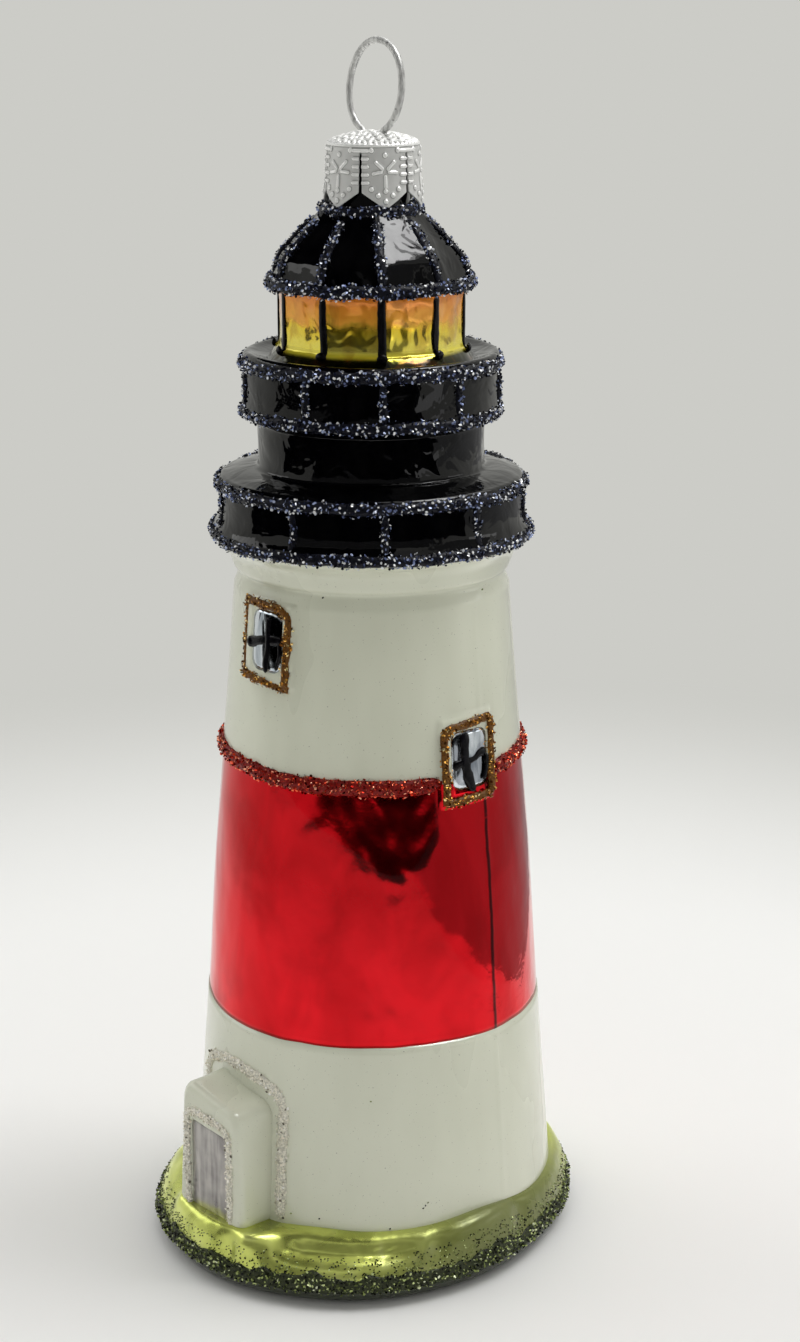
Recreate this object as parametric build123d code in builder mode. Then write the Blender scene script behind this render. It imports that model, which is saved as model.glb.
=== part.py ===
from build123d import *
from math import atan2, cos, degrees, pi, radians, sin, sqrt
import os

# Hanging ornament of blown glass in the shape of a lighthouse.  Millimetres, +Z up.
# The origin is on the tower's axis, in the plane of the flat bottom; the door faces -Y.
# Azimuths are degrees from -Y towards +X.

# ---- glass: widths ----
WALL = 0.9                    # thickness of the blown glass
SIDES = 10                    # panes of the lantern and facets of the roof
TOWER_FOOT_R = 25.2           # where the white tower comes out of the mound
TOWER_TOP_R = 18.5
MOUND_SPREAD_X = 3.3          # how far the oval mound reaches beyond the tower's foot
MOUND_SPREAD_Y = 5.4          # the same along Y, as a mean of front and back
MOUND_SHIFT = 1.8             # the oval's middle lies this far towards the door
MOUND_UNDERCUT = 3.4          # how far the bottom face lies inside the mound's rim
THROAT_DEPTH = 0.35           # groove between the tower and the cove
LOWER_OVERHANG = 1.9          # lower gallery beyond the tower's top
LOWER_FLARE = 0.9             # its side widens towards its foot
LOWER_DECK = 5.3              # width of the deck between its edge and the drum
UPPER_OVERHANG = 1.9          # upper gallery beyond the drum
UPPER_DECK = 4.5              # width of the deck between its edge and the lantern
EAVE_OVERHANG = 0.8           # roof beyond the lantern
ROOF_DRAW_IN = 1.05           # from the eave to the bend in the facets
EDGE = 0.6                    # bevel on the galleries' edges
NECK_R = 5.2                  # glass tube inside the cap
ROOF_COLLAR = 1.1             # flat ring between the neck and the roof's facets

# ---- glass: heights, from the bottom up ----
MOUND_RIM_Z = 2.4             # the mound's widest line
MOUND_TOP_Z = 8.6
TOWER_HEIGHT = 85.2
THROAT_HEIGHT = 0.8
COVE_HEIGHT = 5.4
LOWER_GALLERY_HEIGHT = 7.7
LOWER_DECK_RISE = 0.9
DRUM_HEIGHT = 6.3
SOFFIT_HEIGHT = 0.7
UPPER_GALLERY_HEIGHT = 8.5
UPPER_DECK_RISE = 0.3
LANTERN_HEIGHT = 7.8
EAVE_HEIGHT = 0.8
ROOF_BEND_HEIGHT = 3.4        # steep part of the facets
ROOF_HEIGHT = 9.6             # from the eave to the top

# ---- porch and windows, all moulded in the glass ----
PORCH_WIDTH = 13.0
PORCH_DEPTH = 4.3             # beyond the tower's foot
PORCH_HEIGHT = 17.2           # above the mound
PORCH_CORNER = 2.4
DOOR_WIDTH = 8.2
DOOR_HEIGHT = 12.2
DOOR_SILL = 0.6               # above the mound
DOOR_RECESS = 0.5
WINDOW_WIDTH = 8.8
WINDOW_HEIGHT = 11.8
WINDOW_FRAME = 1.7            # width of the moulded frame around the pane
WINDOW_PROUD = 0.35           # how far the frame stands out at its middle
WINDOW_CORNER = 1.3
HIGH_WINDOW_DROP = 6.1        # from the tower's top to a window's middle
HIGH_WINDOW_AZIMUTH = 2
LOW_WINDOW_DROP = 21.3
LOW_WINDOW_AZIMUTH = 86

# ---- glitter glue and enamel on the glass ----
GLITTER = 0.45                # how far the glue stands out of the glass
ENAMEL = 0.2                  # the same for brushed enamel
RIB_WIDTH = 1.5
MULLION_WIDTH = 1.3
RING_HEIGHT = 1.9
RING_DROP = 1.5               # from a gallery's top to the middle of its upper ring
BAND_DROP = 24.0              # from the tower's top to the red band's top edge
BAND_RING_HEIGHT = 2.4
BORDER_INSET = 0.3            # glitter stays this far inside a window frame's edges
OUTLINE_WIDTH = 1.6           # glitter round the door and the porch
OUTLINE_LIFT = 0.4            # bare glass between the outlines and the mound
HEM_FOOT_Z = 1.6
HEM_HEIGHT = 3.2
TIP_GAP = 0.2                 # bare glass between the roof's top and the cap's tips
RING_GAP = 0.1                # between the roof's top and the ring below it

# ---- stamped cap and wire loop ----
CAP_SHEET = 0.35
CAP_CLEARANCE = 0.4           # between the neck and the cap's sides
CAP_HEIGHT = 7.8              # from the petals' tips to the edge of the top
CAP_DOME = 1.5                # rise of the top from its edge to its middle
CAP_FLARE = 0.4               # how much wider the petals are at their tips
CAP_EDGE = 0.7                # rounding between the cap's top and its sides
PETALS = 6
PETAL_POINT = 2.0             # height of a petal's pointed end
SLIT_HEAD = 0.9               # from the top's edge to the slits
SLIT_WIDTH = 0.25
WIRE_DIAMETER = 0.9
WIRE_CLEARANCE = 0.1          # around the wire in the cap's holes
LOOP_RISE = 12.0              # above the cap's dome
LOOP_WIDTH = 10.8             # over the wire
LOOP_SIDE_RADIUS = 8.2        # centre line of the sides below the round top
LEG_X = 1.0                   # legs inside the cap
LEG_BEND = 0.8                # centre line, where a leg turns into the loop
LEG_LENGTH = 8.0              # below the cap's dome

# ---- levels and radii that follow ----
TOWER_TOP_Z = MOUND_TOP_Z + TOWER_HEIGHT
THROAT_Z = TOWER_TOP_Z + THROAT_HEIGHT
LOWER_FOOT_Z = THROAT_Z + COVE_HEIGHT
LOWER_TOP_Z = LOWER_FOOT_Z + LOWER_GALLERY_HEIGHT
DRUM_FOOT_Z = LOWER_TOP_Z + LOWER_DECK_RISE
DRUM_TOP_Z = DRUM_FOOT_Z + DRUM_HEIGHT
UPPER_FOOT_Z = DRUM_TOP_Z + SOFFIT_HEIGHT
UPPER_TOP_Z = UPPER_FOOT_Z + UPPER_GALLERY_HEIGHT
LANTERN_FOOT_Z = UPPER_TOP_Z + UPPER_DECK_RISE
LANTERN_TOP_Z = LANTERN_FOOT_Z + LANTERN_HEIGHT
EAVE_Z = LANTERN_TOP_Z + EAVE_HEIGHT
ROOF_TOP_Z = EAVE_Z + ROOF_HEIGHT
PETAL_TIP_Z = ROOF_TOP_Z + TIP_GAP
CAP_EDGE_Z = PETAL_TIP_Z + CAP_HEIGHT
CAP_TOP_Z = CAP_EDGE_Z + CAP_DOME
NECK_TOP_Z = CAP_EDGE_Z - CAP_SHEET
THROAT_R = TOWER_TOP_R - THROAT_DEPTH
LOWER_R = TOWER_TOP_R + LOWER_OVERHANG
LOWER_FOOT_R = LOWER_R + LOWER_FLARE
DRUM_R = LOWER_R - LOWER_DECK
UPPER_R = DRUM_R + UPPER_OVERHANG
LANTERN_R = UPPER_R - UPPER_DECK
EAVE_R = LANTERN_R + EAVE_OVERHANG
ROOF_BEND_R = EAVE_R - ROOF_DRAW_IN
ROOF_TOP_R = NECK_R + ROOF_COLLAR
CAP_TOP_R = NECK_R + CAP_CLEARANCE + CAP_SHEET
CAP_FOOT_R = CAP_TOP_R + CAP_FLARE
PORCH_FRONT_Y = TOWER_FOOT_R + PORCH_DEPTH
PORCH_TOP_Z = MOUND_TOP_Z + PORCH_HEIGHT
DOOR_FOOT_Z = MOUND_TOP_Z + DOOR_SILL
DOOR_TOP_Z = DOOR_FOOT_Z + DOOR_HEIGHT
PANE_WIDTH = WINDOW_WIDTH - 2 * WINDOW_FRAME
PANE_HEIGHT = WINDOW_HEIGHT - 2 * WINDOW_FRAME
FRAME_ROOT = WALL + 0.4       # depth from which a window's frame rises inside the wall
BAND_TOP_Z = TOWER_TOP_Z - BAND_DROP
OUTLINE_FOOT_Z = MOUND_TOP_Z + OUTLINE_LIFT
TAPER = (TOWER_FOOT_R - TOWER_TOP_R) / TOWER_HEIGHT
FLAT_SHARE = cos(pi / SIDES)  # middle of a side over its corner, in a regular polygon
HALF_SIDE = 180 / SIDES       # degrees from the middle of a side to its corner

WINDOWS = (
    ("front", HIGH_WINDOW_AZIMUTH, TOWER_TOP_Z - HIGH_WINDOW_DROP),
    ("right", LOW_WINDOW_AZIMUTH, TOWER_TOP_Z - LOW_WINDOW_DROP),
    ("back", HIGH_WINDOW_AZIMUTH + 180, TOWER_TOP_Z - HIGH_WINDOW_DROP),
    ("left", LOW_WINDOW_AZIMUTH + 180, TOWER_TOP_Z - LOW_WINDOW_DROP),
)

ROOF_STATIONS = (
    (EAVE_R, EAVE_Z),
    (ROOF_BEND_R, EAVE_Z + ROOF_BEND_HEIGHT),
    (ROOF_TOP_R, ROOF_TOP_Z),
)

# Half section of the glass above the mound.  The lantern and the roof are round cores
# here, a core's play inside their facets, and get the facets further down.
CORE_PLAY = 0.1
SIDE_PROFILE = (
    (0, MOUND_RIM_Z),
    (TOWER_FOOT_R - WALL, MOUND_RIM_Z),
    (TOWER_FOOT_R, MOUND_TOP_Z),
    (TOWER_TOP_R, TOWER_TOP_Z),
    (THROAT_R, THROAT_Z),
    (THROAT_R + 0.65 * LOWER_OVERHANG, THROAT_Z + 0.35 * COVE_HEIGHT),
    (LOWER_FOOT_R - EDGE / 2, LOWER_FOOT_Z - 2 * EDGE),
    (LOWER_FOOT_R, LOWER_FOOT_Z),
    (LOWER_FOOT_R, LOWER_FOOT_Z + EDGE),
    (LOWER_R, (LOWER_FOOT_Z + LOWER_TOP_Z) / 2),
    (LOWER_R, LOWER_TOP_Z - EDGE),
    (LOWER_R - EDGE, LOWER_TOP_Z),
    (DRUM_R + EDGE, DRUM_FOOT_Z - EDGE / 2),
    (DRUM_R, DRUM_FOOT_Z + EDGE / 2),
    (DRUM_R, DRUM_TOP_Z),
    (UPPER_R - EDGE, UPPER_FOOT_Z - EDGE / 2),
    (UPPER_R, UPPER_FOOT_Z + EDGE / 2),
    (UPPER_R, UPPER_TOP_Z - EDGE),
    (UPPER_R - EDGE, UPPER_TOP_Z),
    (LANTERN_R + EDGE, LANTERN_FOOT_Z - EDGE / 2),
    (LANTERN_R * FLAT_SHARE - CORE_PLAY, LANTERN_FOOT_Z + EDGE / 2),
    (LANTERN_R * FLAT_SHARE - CORE_PLAY, EAVE_Z + EDGE / 2),
    (ROOF_BEND_R * FLAT_SHARE - CORE_PLAY, EAVE_Z + ROOF_BEND_HEIGHT - CORE_PLAY),
    (ROOF_TOP_R * FLAT_SHARE - CORE_PLAY, ROOF_TOP_Z - CORE_PLAY),
    (NECK_R, ROOF_TOP_Z + TIP_GAP),
    (NECK_R, NECK_TOP_Z),
    (0, NECK_TOP_Z),
)


def tower_radius(z):
    """Outer radius of the tapering tower."""
    return TOWER_FOOT_R - TAPER * (z - MOUND_TOP_Z)


def polygon_loft(stations, growth=0.0):
    """Solid through regular polygons; a station is a corner radius and a height."""
    with BuildPart() as solid:
        for radius, z in stations:
            with BuildSketch(Plane.XY.offset(z)):
                RegularPolygon(radius + growth, SIDES, rotation=HALF_SIDE - 90)
        loft(ruled=True)
    return solid.part


def mound(growth=0.0):
    """The oval mound, grown all round by the given amount and cut off flat at the bottom."""
    shoulder_z = MOUND_RIM_Z + 0.65 * (MOUND_TOP_Z - MOUND_RIM_Z)
    stations = (
        (1, 1.6 * MOUND_UNDERCUT, -1),
        (1, MOUND_UNDERCUT, 0),
        (1, 0, MOUND_RIM_Z),
        (0.8, 0, shoulder_z),
        (0.05, 0, MOUND_TOP_Z),
    )
    with BuildPart() as solid:
        for share, undercut, z in stations:
            half_width = TOWER_FOOT_R + share * MOUND_SPREAD_X - undercut + growth
            half_depth = TOWER_FOOT_R + share * MOUND_SPREAD_Y - undercut + growth
            with BuildSketch(Plane.XY.offset(z)):
                with Locations((0, -share * MOUND_SHIFT)):
                    Ellipse(half_width, half_depth)
        loft()
        split(bisect_by=Plane.XY, keep=Keep.TOP)
    return solid.part


def facing(azimuth, radius, z, lean=0.0):
    """Plane that faces outwards at an azimuth; its X runs round the tower, its Y up."""
    turn = radians(azimuth)
    outwards = Vector(sin(turn), -cos(turn), 0)
    across = Vector(cos(turn), sin(turn), 0)
    normal = outwards * cos(radians(lean)) + Vector(0, 0, 1) * sin(radians(lean))
    return Plane(origin=outwards * radius + Vector(0, 0, z), x_dir=across, z_dir=normal)


def window_plane(azimuth, z):
    """Plane that lies on the tower's side at a window's middle."""
    return facing(azimuth, tower_radius(z), z, lean=degrees(atan2(TAPER, 1)))


def ring_of(points):
    """Solid of revolution about Z from corner points, each a radius and a height."""
    with BuildPart() as ring:
        with BuildSketch(Plane.XZ):
            with BuildLine():
                Polyline(*points, close=True)
            make_face()
        revolve(axis=Axis.Z)
    return ring.part


def inset(points, wall):
    """Half section moved inwards by the wall's thickness, with mitred corners."""
    moved = []
    for before, here, after in zip(points, points[1:], points[2:]):
        first = Vector(here[0] - before[0], here[1] - before[1]).normalized()
        second = Vector(after[0] - here[0], after[1] - here[1]).normalized()
        inward_one = Vector(-first.Y, first.X)
        inward_two = Vector(-second.Y, second.X)
        mitre = (inward_one + inward_two).normalized()
        reach = wall / mitre.dot(inward_one)
        moved.append((here[0] + mitre.X * reach, here[1] + mitre.Y * reach))
    return moved


def corner_strips(width, reach, foot_z, top_z):
    """Radial slabs through the corners of the lantern and roof."""
    with BuildPart() as strips:
        for corner in range(SIDES):
            azimuth = (2 * corner + 1) * HALF_SIDE
            with BuildSketch(facing(azimuth, reach / 4, (foot_z + top_z) / 2)):
                Rectangle(width, top_z - foot_z)
            extrude(amount=reach)
    return strips.part


def bent_wire(growth=0.0):
    """The wire loop: a round top, long sides and two legs into the neck, grown all round."""
    crown_radius = (LOOP_WIDTH - WIRE_DIAMETER) / 2
    crest_z = CAP_TOP_Z + LOOP_RISE - WIRE_DIAMETER / 2
    belly_z = crest_z - crown_radius
    side_x = crown_radius - LOOP_SIDE_RADIUS
    bend_x = LEG_X + LEG_BEND
    bend_z = belly_z - sqrt((LOOP_SIDE_RADIUS + LEG_BEND) ** 2 - (bend_x - side_x) ** 2)
    share = LOOP_SIDE_RADIUS / (LOOP_SIDE_RADIUS + LEG_BEND)
    hip = (side_x + (bend_x - side_x) * share, belly_z + (bend_z - belly_z) * share)
    leg_foot_z = CAP_TOP_Z - LEG_LENGTH
    with BuildPart() as wire:
        with BuildLine(Plane.XZ) as loop_path:
            Line((LEG_X, leg_foot_z), (LEG_X, bend_z))
            RadiusArc((LEG_X, bend_z), hip, LEG_BEND)
            RadiusArc(hip, (crown_radius, belly_z), -LOOP_SIDE_RADIUS)
            RadiusArc((crown_radius, belly_z), (0, crest_z), -crown_radius)
            mirror(about=Plane.YZ)
        with BuildSketch(Plane.XY.offset(leg_foot_z)):
            with Locations((LEG_X, 0)):
                Circle(WIRE_DIAMETER / 2 + growth)
        sweep(path=loop_path.wires()[0])
    return wire.part


def save(piece, label):
    """Names a finished piece and writes its file."""
    piece.part.label = label
    export_step(piece.part, f"parts/{label}.step")


os.makedirs("parts", exist_ok=True)

# ---- outer form of the glass, still solid: the trims are fitted against it ----
porch_depth = PORCH_FRONT_Y - tower_radius(PORCH_TOP_Z) + 3 * WALL
with BuildPart() as outer_form:
    with BuildSketch(Plane.XZ):
        with BuildLine():
            Polyline(*SIDE_PROFILE, close=True)
        make_face()
    revolve(axis=Axis.Z)
    add(mound())
    add(polygon_loft(((LANTERN_R, LANTERN_FOOT_Z), (LANTERN_R, LANTERN_TOP_Z), (EAVE_R, EAVE_Z))))
    add(polygon_loft(ROOF_STATIONS))
    with BuildSketch(Plane.XZ.offset(PORCH_FRONT_Y)):
        with Locations((0, (MOUND_RIM_Z + PORCH_TOP_Z) / 2)):
            RectangleRounded(PORCH_WIDTH, PORCH_TOP_Z - MOUND_RIM_Z, PORCH_CORNER)
    extrude(amount=-porch_depth)
    with BuildSketch(Plane.XZ.offset(PORCH_FRONT_Y)):
        with Locations((0, DOOR_FOOT_Z + DOOR_HEIGHT / 2)):
            Rectangle(DOOR_WIDTH, DOOR_HEIGHT)
    extrude(amount=-DOOR_RECESS, mode=Mode.SUBTRACT)
    for _, azimuth, z in WINDOWS:
        with BuildSketch(window_plane(azimuth, z).offset(-FRAME_ROOT)):
            RectangleRounded(WINDOW_WIDTH, WINDOW_HEIGHT, WINDOW_CORNER)
            Rectangle(PANE_WIDTH, PANE_HEIGHT, mode=Mode.SUBTRACT)
        extrude(amount=FRAME_ROOT + WINDOW_PROUD)

# ---- hollow glass body, open at the top of the neck ----
inner_side = inset(SIDE_PROFILE, WALL)
inner_foot = (0, inner_side[0][1])
inner_mouth = (NECK_R - WALL, NECK_TOP_Z + 1)
with BuildPart() as mound_hollow:
    add(mound(-WALL))
    split(bisect_by=Plane.XY.offset(WALL), keep=Keep.TOP)
with BuildPart() as glass_body:
    add(outer_form.part)
    with BuildSketch(Plane.XZ):
        with BuildLine():
            Polyline(inner_foot, *inner_side[:-1], inner_mouth, (0, inner_mouth[1]), close=True)
        make_face()
    revolve(axis=Axis.Z, mode=Mode.SUBTRACT)
    add(mound_hollow.part, mode=Mode.SUBTRACT)
    hollow_foot_z = MOUND_TOP_Z - WALL
    hollow_top_z = PORCH_TOP_Z - WALL
    with BuildSketch(Plane.XZ.offset(PORCH_FRONT_Y - DOOR_RECESS - WALL)):
        with Locations((0, (hollow_foot_z + hollow_top_z) / 2)):
            Rectangle(PORCH_WIDTH - 2 * WALL, hollow_top_z - hollow_foot_z)
    extrude(amount=WALL - porch_depth, mode=Mode.SUBTRACT)
save(glass_body, "glass_body")

# ---- stamped cap: a crown of petals that grips the neck ----
tip_half_width = CAP_FOOT_R * sin(pi / PETALS)
dome_radius = (CAP_TOP_R ** 2 + CAP_DOME ** 2) / (2 * CAP_DOME)
PETAL_GAP = (
    (SLIT_WIDTH / 2, CAP_EDGE_Z - SLIT_HEAD),
    (SLIT_WIDTH / 2, PETAL_TIP_Z + PETAL_POINT),
    (tip_half_width, PETAL_TIP_Z),
    (tip_half_width, PETAL_TIP_Z - 1),
)
with BuildPart() as cap_crown:
    with BuildSketch(Plane.XZ) as crown_section:
        with BuildLine():
            RadiusArc((0, CAP_TOP_Z), (CAP_TOP_R, CAP_EDGE_Z), dome_radius)
            Polyline(
                (CAP_TOP_R, CAP_EDGE_Z),
                (CAP_FOOT_R, PETAL_TIP_Z),
                (CAP_FOOT_R - CAP_SHEET, PETAL_TIP_Z),
                (CAP_TOP_R - CAP_SHEET, NECK_TOP_Z),
                (NECK_R - WALL, NECK_TOP_Z),
                (0, CAP_TOP_Z - CAP_SHEET),
                (0, CAP_TOP_Z),
            )
        make_face()
        fillet(crown_section.vertices().sort_by_distance((CAP_TOP_R, CAP_EDGE_Z))[0], CAP_EDGE)
    revolve(axis=Axis.Z)
    for petal in range(PETALS):
        slit_azimuth = (petal + 0.5) * 360 / PETALS
        with BuildSketch(facing(slit_azimuth, CAP_FOOT_R / 2, 0)):
            with BuildLine():
                Polyline(*PETAL_GAP, *[(-x, z) for x, z in reversed(PETAL_GAP)], close=True)
            make_face()
        extrude(amount=CAP_FOOT_R, mode=Mode.SUBTRACT)
    add(bent_wire(WIRE_CLEARANCE), mode=Mode.SUBTRACT)
save(cap_crown, "cap_crown")

with BuildPart() as hanger_wire:
    add(bent_wire())
save(hanger_wire, "hanger_wire")

# ---- roof: glitter ring under the cap, ribs on the corners, ring on the eave ----
neck_ring_top = ROOF_TOP_Z - RING_GAP
neck_ring_foot = neck_ring_top - RING_HEIGHT
eave_ring_foot = EAVE_Z - RING_HEIGHT / 2
eave_ring_top = EAVE_Z + RING_HEIGHT / 2
with BuildPart() as neck_ring:
    add(polygon_loft(ROOF_STATIONS, growth=1.3 * GLITTER))
    split(bisect_by=Plane.XY.offset(neck_ring_foot), keep=Keep.TOP)
    split(bisect_by=Plane.XY.offset(neck_ring_top), keep=Keep.BOTTOM)
    add(outer_form.part, mode=Mode.SUBTRACT)
save(neck_ring, "neck_ring")

with BuildPart() as eave_ring:
    with BuildSketch(Plane.XY.offset(eave_ring_foot)):
        RegularPolygon(EAVE_R + GLITTER, SIDES, rotation=HALF_SIDE - 90)
    extrude(amount=RING_HEIGHT)
    add(outer_form.part, mode=Mode.SUBTRACT)
save(eave_ring, "eave_ring")

with BuildPart() as roof_ribs:
    add(polygon_loft(ROOF_STATIONS, growth=GLITTER))
    add(corner_strips(RIB_WIDTH, EAVE_R, eave_ring_top, neck_ring_foot), mode=Mode.INTERSECT)
    add(outer_form.part, mode=Mode.SUBTRACT)
save(roof_ribs, "roof_ribs")

# ---- lantern: black enamel bars between the panes ----
with BuildPart() as lantern_mullions:
    add(polygon_loft(((LANTERN_R + ENAMEL, LANTERN_FOOT_Z), (LANTERN_R + ENAMEL, eave_ring_foot))))
    add(corner_strips(MULLION_WIDTH, LANTERN_R, LANTERN_FOOT_Z, eave_ring_foot), mode=Mode.INTERSECT)
    add(outer_form.part, mode=Mode.SUBTRACT)
save(lantern_mullions, "lantern_mullions")

# ---- galleries: a glitter ring at each edge and posts between them ----
GALLERIES = (
    ("upper", UPPER_R, UPPER_R, UPPER_FOOT_Z, UPPER_TOP_Z),
    ("lower", LOWER_R, LOWER_FOOT_R, LOWER_FOOT_Z, LOWER_TOP_Z),
)
for level, top_r, foot_r, foot_z, top_z in GALLERIES:
    top_middle = top_z - RING_DROP
    foot_middle = foot_z + RING_HEIGHT / 3
    for ring_name, ring_r, middle_z in (("top_ring", top_r, top_middle), ("foot_ring", foot_r, foot_middle)):
        with BuildPart() as gallery_ring:
            with BuildSketch(Plane.XZ):
                with Locations((ring_r + GLITTER - RING_HEIGHT / 2, middle_z)):
                    Circle(RING_HEIGHT / 2)
            revolve(axis=Axis.Z)
            add(outer_form.part, mode=Mode.SUBTRACT)
        save(gallery_ring, f"{level}_gallery_{ring_name}")
    post_foot = foot_middle + RING_HEIGHT / 2
    post_top = top_middle - RING_HEIGHT / 2
    root_r = top_r - RING_HEIGHT
    post_section = (
        (root_r, post_foot),
        (foot_r + GLITTER / 2, post_foot),
        (top_r + GLITTER, (post_foot + post_top) / 2),
        (top_r + GLITTER, post_top),
        (root_r, post_top),
    )
    with BuildPart() as gallery_posts:
        add(ring_of(post_section))
        add(corner_strips(RIB_WIDTH, foot_r, post_foot, post_top), mode=Mode.INTERSECT)
        add(outer_form.part, mode=Mode.SUBTRACT)
    save(gallery_posts, f"{level}_gallery_posts")

# ---- tower: ring on the red band's top edge, broken by the low windows ----
band_foot_z = BAND_TOP_Z - BAND_RING_HEIGHT / 2
band_crest_z = BAND_TOP_Z + BAND_RING_HEIGHT / 2
band_r = tower_radius(BAND_TOP_Z) + GLITTER
with BuildPart() as band_ring:
    add(
        ring_of(
            (
                (tower_radius(band_foot_z), band_foot_z),
                (band_r, band_foot_z + GLITTER),
                (band_r, band_crest_z - GLITTER),
                (tower_radius(band_crest_z), band_crest_z),
            )
        )
    )
    for _, azimuth, z in WINDOWS:
        with BuildSketch(window_plane(azimuth, z).offset(-FRAME_ROOT)):
            RectangleRounded(WINDOW_WIDTH, WINDOW_HEIGHT, WINDOW_CORNER)
        extrude(amount=FRAME_ROOT + WINDOW_PROUD + 2 * GLITTER, mode=Mode.SUBTRACT)
save(band_ring, "band_ring")

# ---- windows: glitter laid on the moulded frames ----
for side, azimuth, z in WINDOWS:
    with BuildPart() as window_border:
        with BuildSketch(window_plane(azimuth, z).offset(WINDOW_PROUD)):
            RectangleRounded(
                WINDOW_WIDTH - 2 * BORDER_INSET,
                WINDOW_HEIGHT - 2 * BORDER_INSET,
                WINDOW_CORNER - BORDER_INSET,
            )
            Rectangle(PANE_WIDTH + 2 * BORDER_INSET, PANE_HEIGHT + 2 * BORDER_INSET, mode=Mode.SUBTRACT)
        extrude(amount=GLITTER)
    save(window_border, f"{side}_window_border")

# ---- porch: white glitter round the door and where the porch meets the tower ----
outline_top_z = DOOR_TOP_Z + OUTLINE_WIDTH
with BuildPart() as door_outline:
    with BuildSketch(Plane.XZ.offset(PORCH_FRONT_Y)):
        with Locations((0, (OUTLINE_FOOT_Z + outline_top_z) / 2)):
            Rectangle(DOOR_WIDTH + 2 * OUTLINE_WIDTH, outline_top_z - OUTLINE_FOOT_Z)
        with Locations((0, (OUTLINE_FOOT_Z + DOOR_TOP_Z) / 2)):
            Rectangle(DOOR_WIDTH, DOOR_TOP_Z - OUTLINE_FOOT_Z, mode=Mode.SUBTRACT)
    extrude(amount=GLITTER)
save(door_outline, "door_outline")

arch_top_z = PORCH_TOP_Z + OUTLINE_WIDTH
arch_section = (
    (tower_radius(OUTLINE_FOOT_Z) - WALL, OUTLINE_FOOT_Z),
    (tower_radius(OUTLINE_FOOT_Z) + GLITTER, OUTLINE_FOOT_Z),
    (tower_radius(arch_top_z) + GLITTER, arch_top_z),
    (tower_radius(arch_top_z) - WALL, arch_top_z),
)
with BuildPart() as porch_outline:
    add(ring_of(arch_section))
    with BuildSketch(Plane.XZ.offset(PORCH_FRONT_Y)):
        with Locations((0, (OUTLINE_FOOT_Z + arch_top_z) / 2)):
            Rectangle(PORCH_WIDTH + 2 * OUTLINE_WIDTH, arch_top_z - OUTLINE_FOOT_Z)
    extrude(amount=-PORCH_FRONT_Y, mode=Mode.INTERSECT)
    add(outer_form.part, mode=Mode.SUBTRACT)
save(porch_outline, "porch_outline")

# ---- mound: dark green glitter on its outer edge ----
with BuildPart() as mound_hem:
    add(mound(GLITTER))
    split(bisect_by=Plane.XY.offset(HEM_FOOT_Z), keep=Keep.TOP)
    split(bisect_by=Plane.XY.offset(HEM_FOOT_Z + HEM_HEIGHT), keep=Keep.BOTTOM)
    add(mound(), mode=Mode.SUBTRACT)
save(mound_hem, "mound_hem")
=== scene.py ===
"""Looks for the blown-glass lighthouse ornament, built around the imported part."""

import math

import bmesh
import bpy
from mathutils import Matrix, Vector, noise


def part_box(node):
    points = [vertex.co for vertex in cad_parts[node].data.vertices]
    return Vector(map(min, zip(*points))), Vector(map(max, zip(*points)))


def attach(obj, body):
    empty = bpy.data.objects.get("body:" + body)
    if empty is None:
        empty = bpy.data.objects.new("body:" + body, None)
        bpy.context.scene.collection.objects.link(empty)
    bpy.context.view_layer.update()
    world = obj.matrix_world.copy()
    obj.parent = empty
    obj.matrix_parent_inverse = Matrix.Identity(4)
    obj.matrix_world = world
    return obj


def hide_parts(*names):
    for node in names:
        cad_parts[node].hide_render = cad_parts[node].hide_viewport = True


bl_info = {
    "name": "Glass lighthouse ornament",
    "version": (1, 0, 0),
    "blender": (4, 5, 0),
    "location": "3D View > Sidebar > Lighthouse",
    "description": "Builds the lacquer, enamel, glitter and metalwork of the ornament",
    "category": "Object",
}

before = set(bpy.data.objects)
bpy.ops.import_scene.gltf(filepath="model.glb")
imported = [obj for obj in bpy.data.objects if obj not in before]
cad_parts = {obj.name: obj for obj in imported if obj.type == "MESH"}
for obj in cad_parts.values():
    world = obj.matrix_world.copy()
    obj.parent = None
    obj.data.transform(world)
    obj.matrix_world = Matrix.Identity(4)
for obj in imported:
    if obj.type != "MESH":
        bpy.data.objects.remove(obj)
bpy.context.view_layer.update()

MM = 0.001

# azimuths run from the door, -Y, towards +X, in degrees
DOOR = 0.0
SEEN = 47                      # the side that faces the camera
SEAM = 93.3                    # the mould seam; its twin is opposite
LEAN = 137.5                   # the way that the cap and its loop lean
SIDES = 10                     # panes of the lantern, facets of the roof, posts of a gallery
PANE = 360 / SIDES


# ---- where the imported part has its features, in millimetres ----

def span(node):
    """Lowest and highest corner of a CAD node."""
    low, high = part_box(node)
    return low / MM, high / MM


def middle_z(node):
    low, high = span(node)
    return (low.z + high.z) / 2


def half_width(node):
    low, high = span(node)
    return (high.x - low.x) / 2


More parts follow.
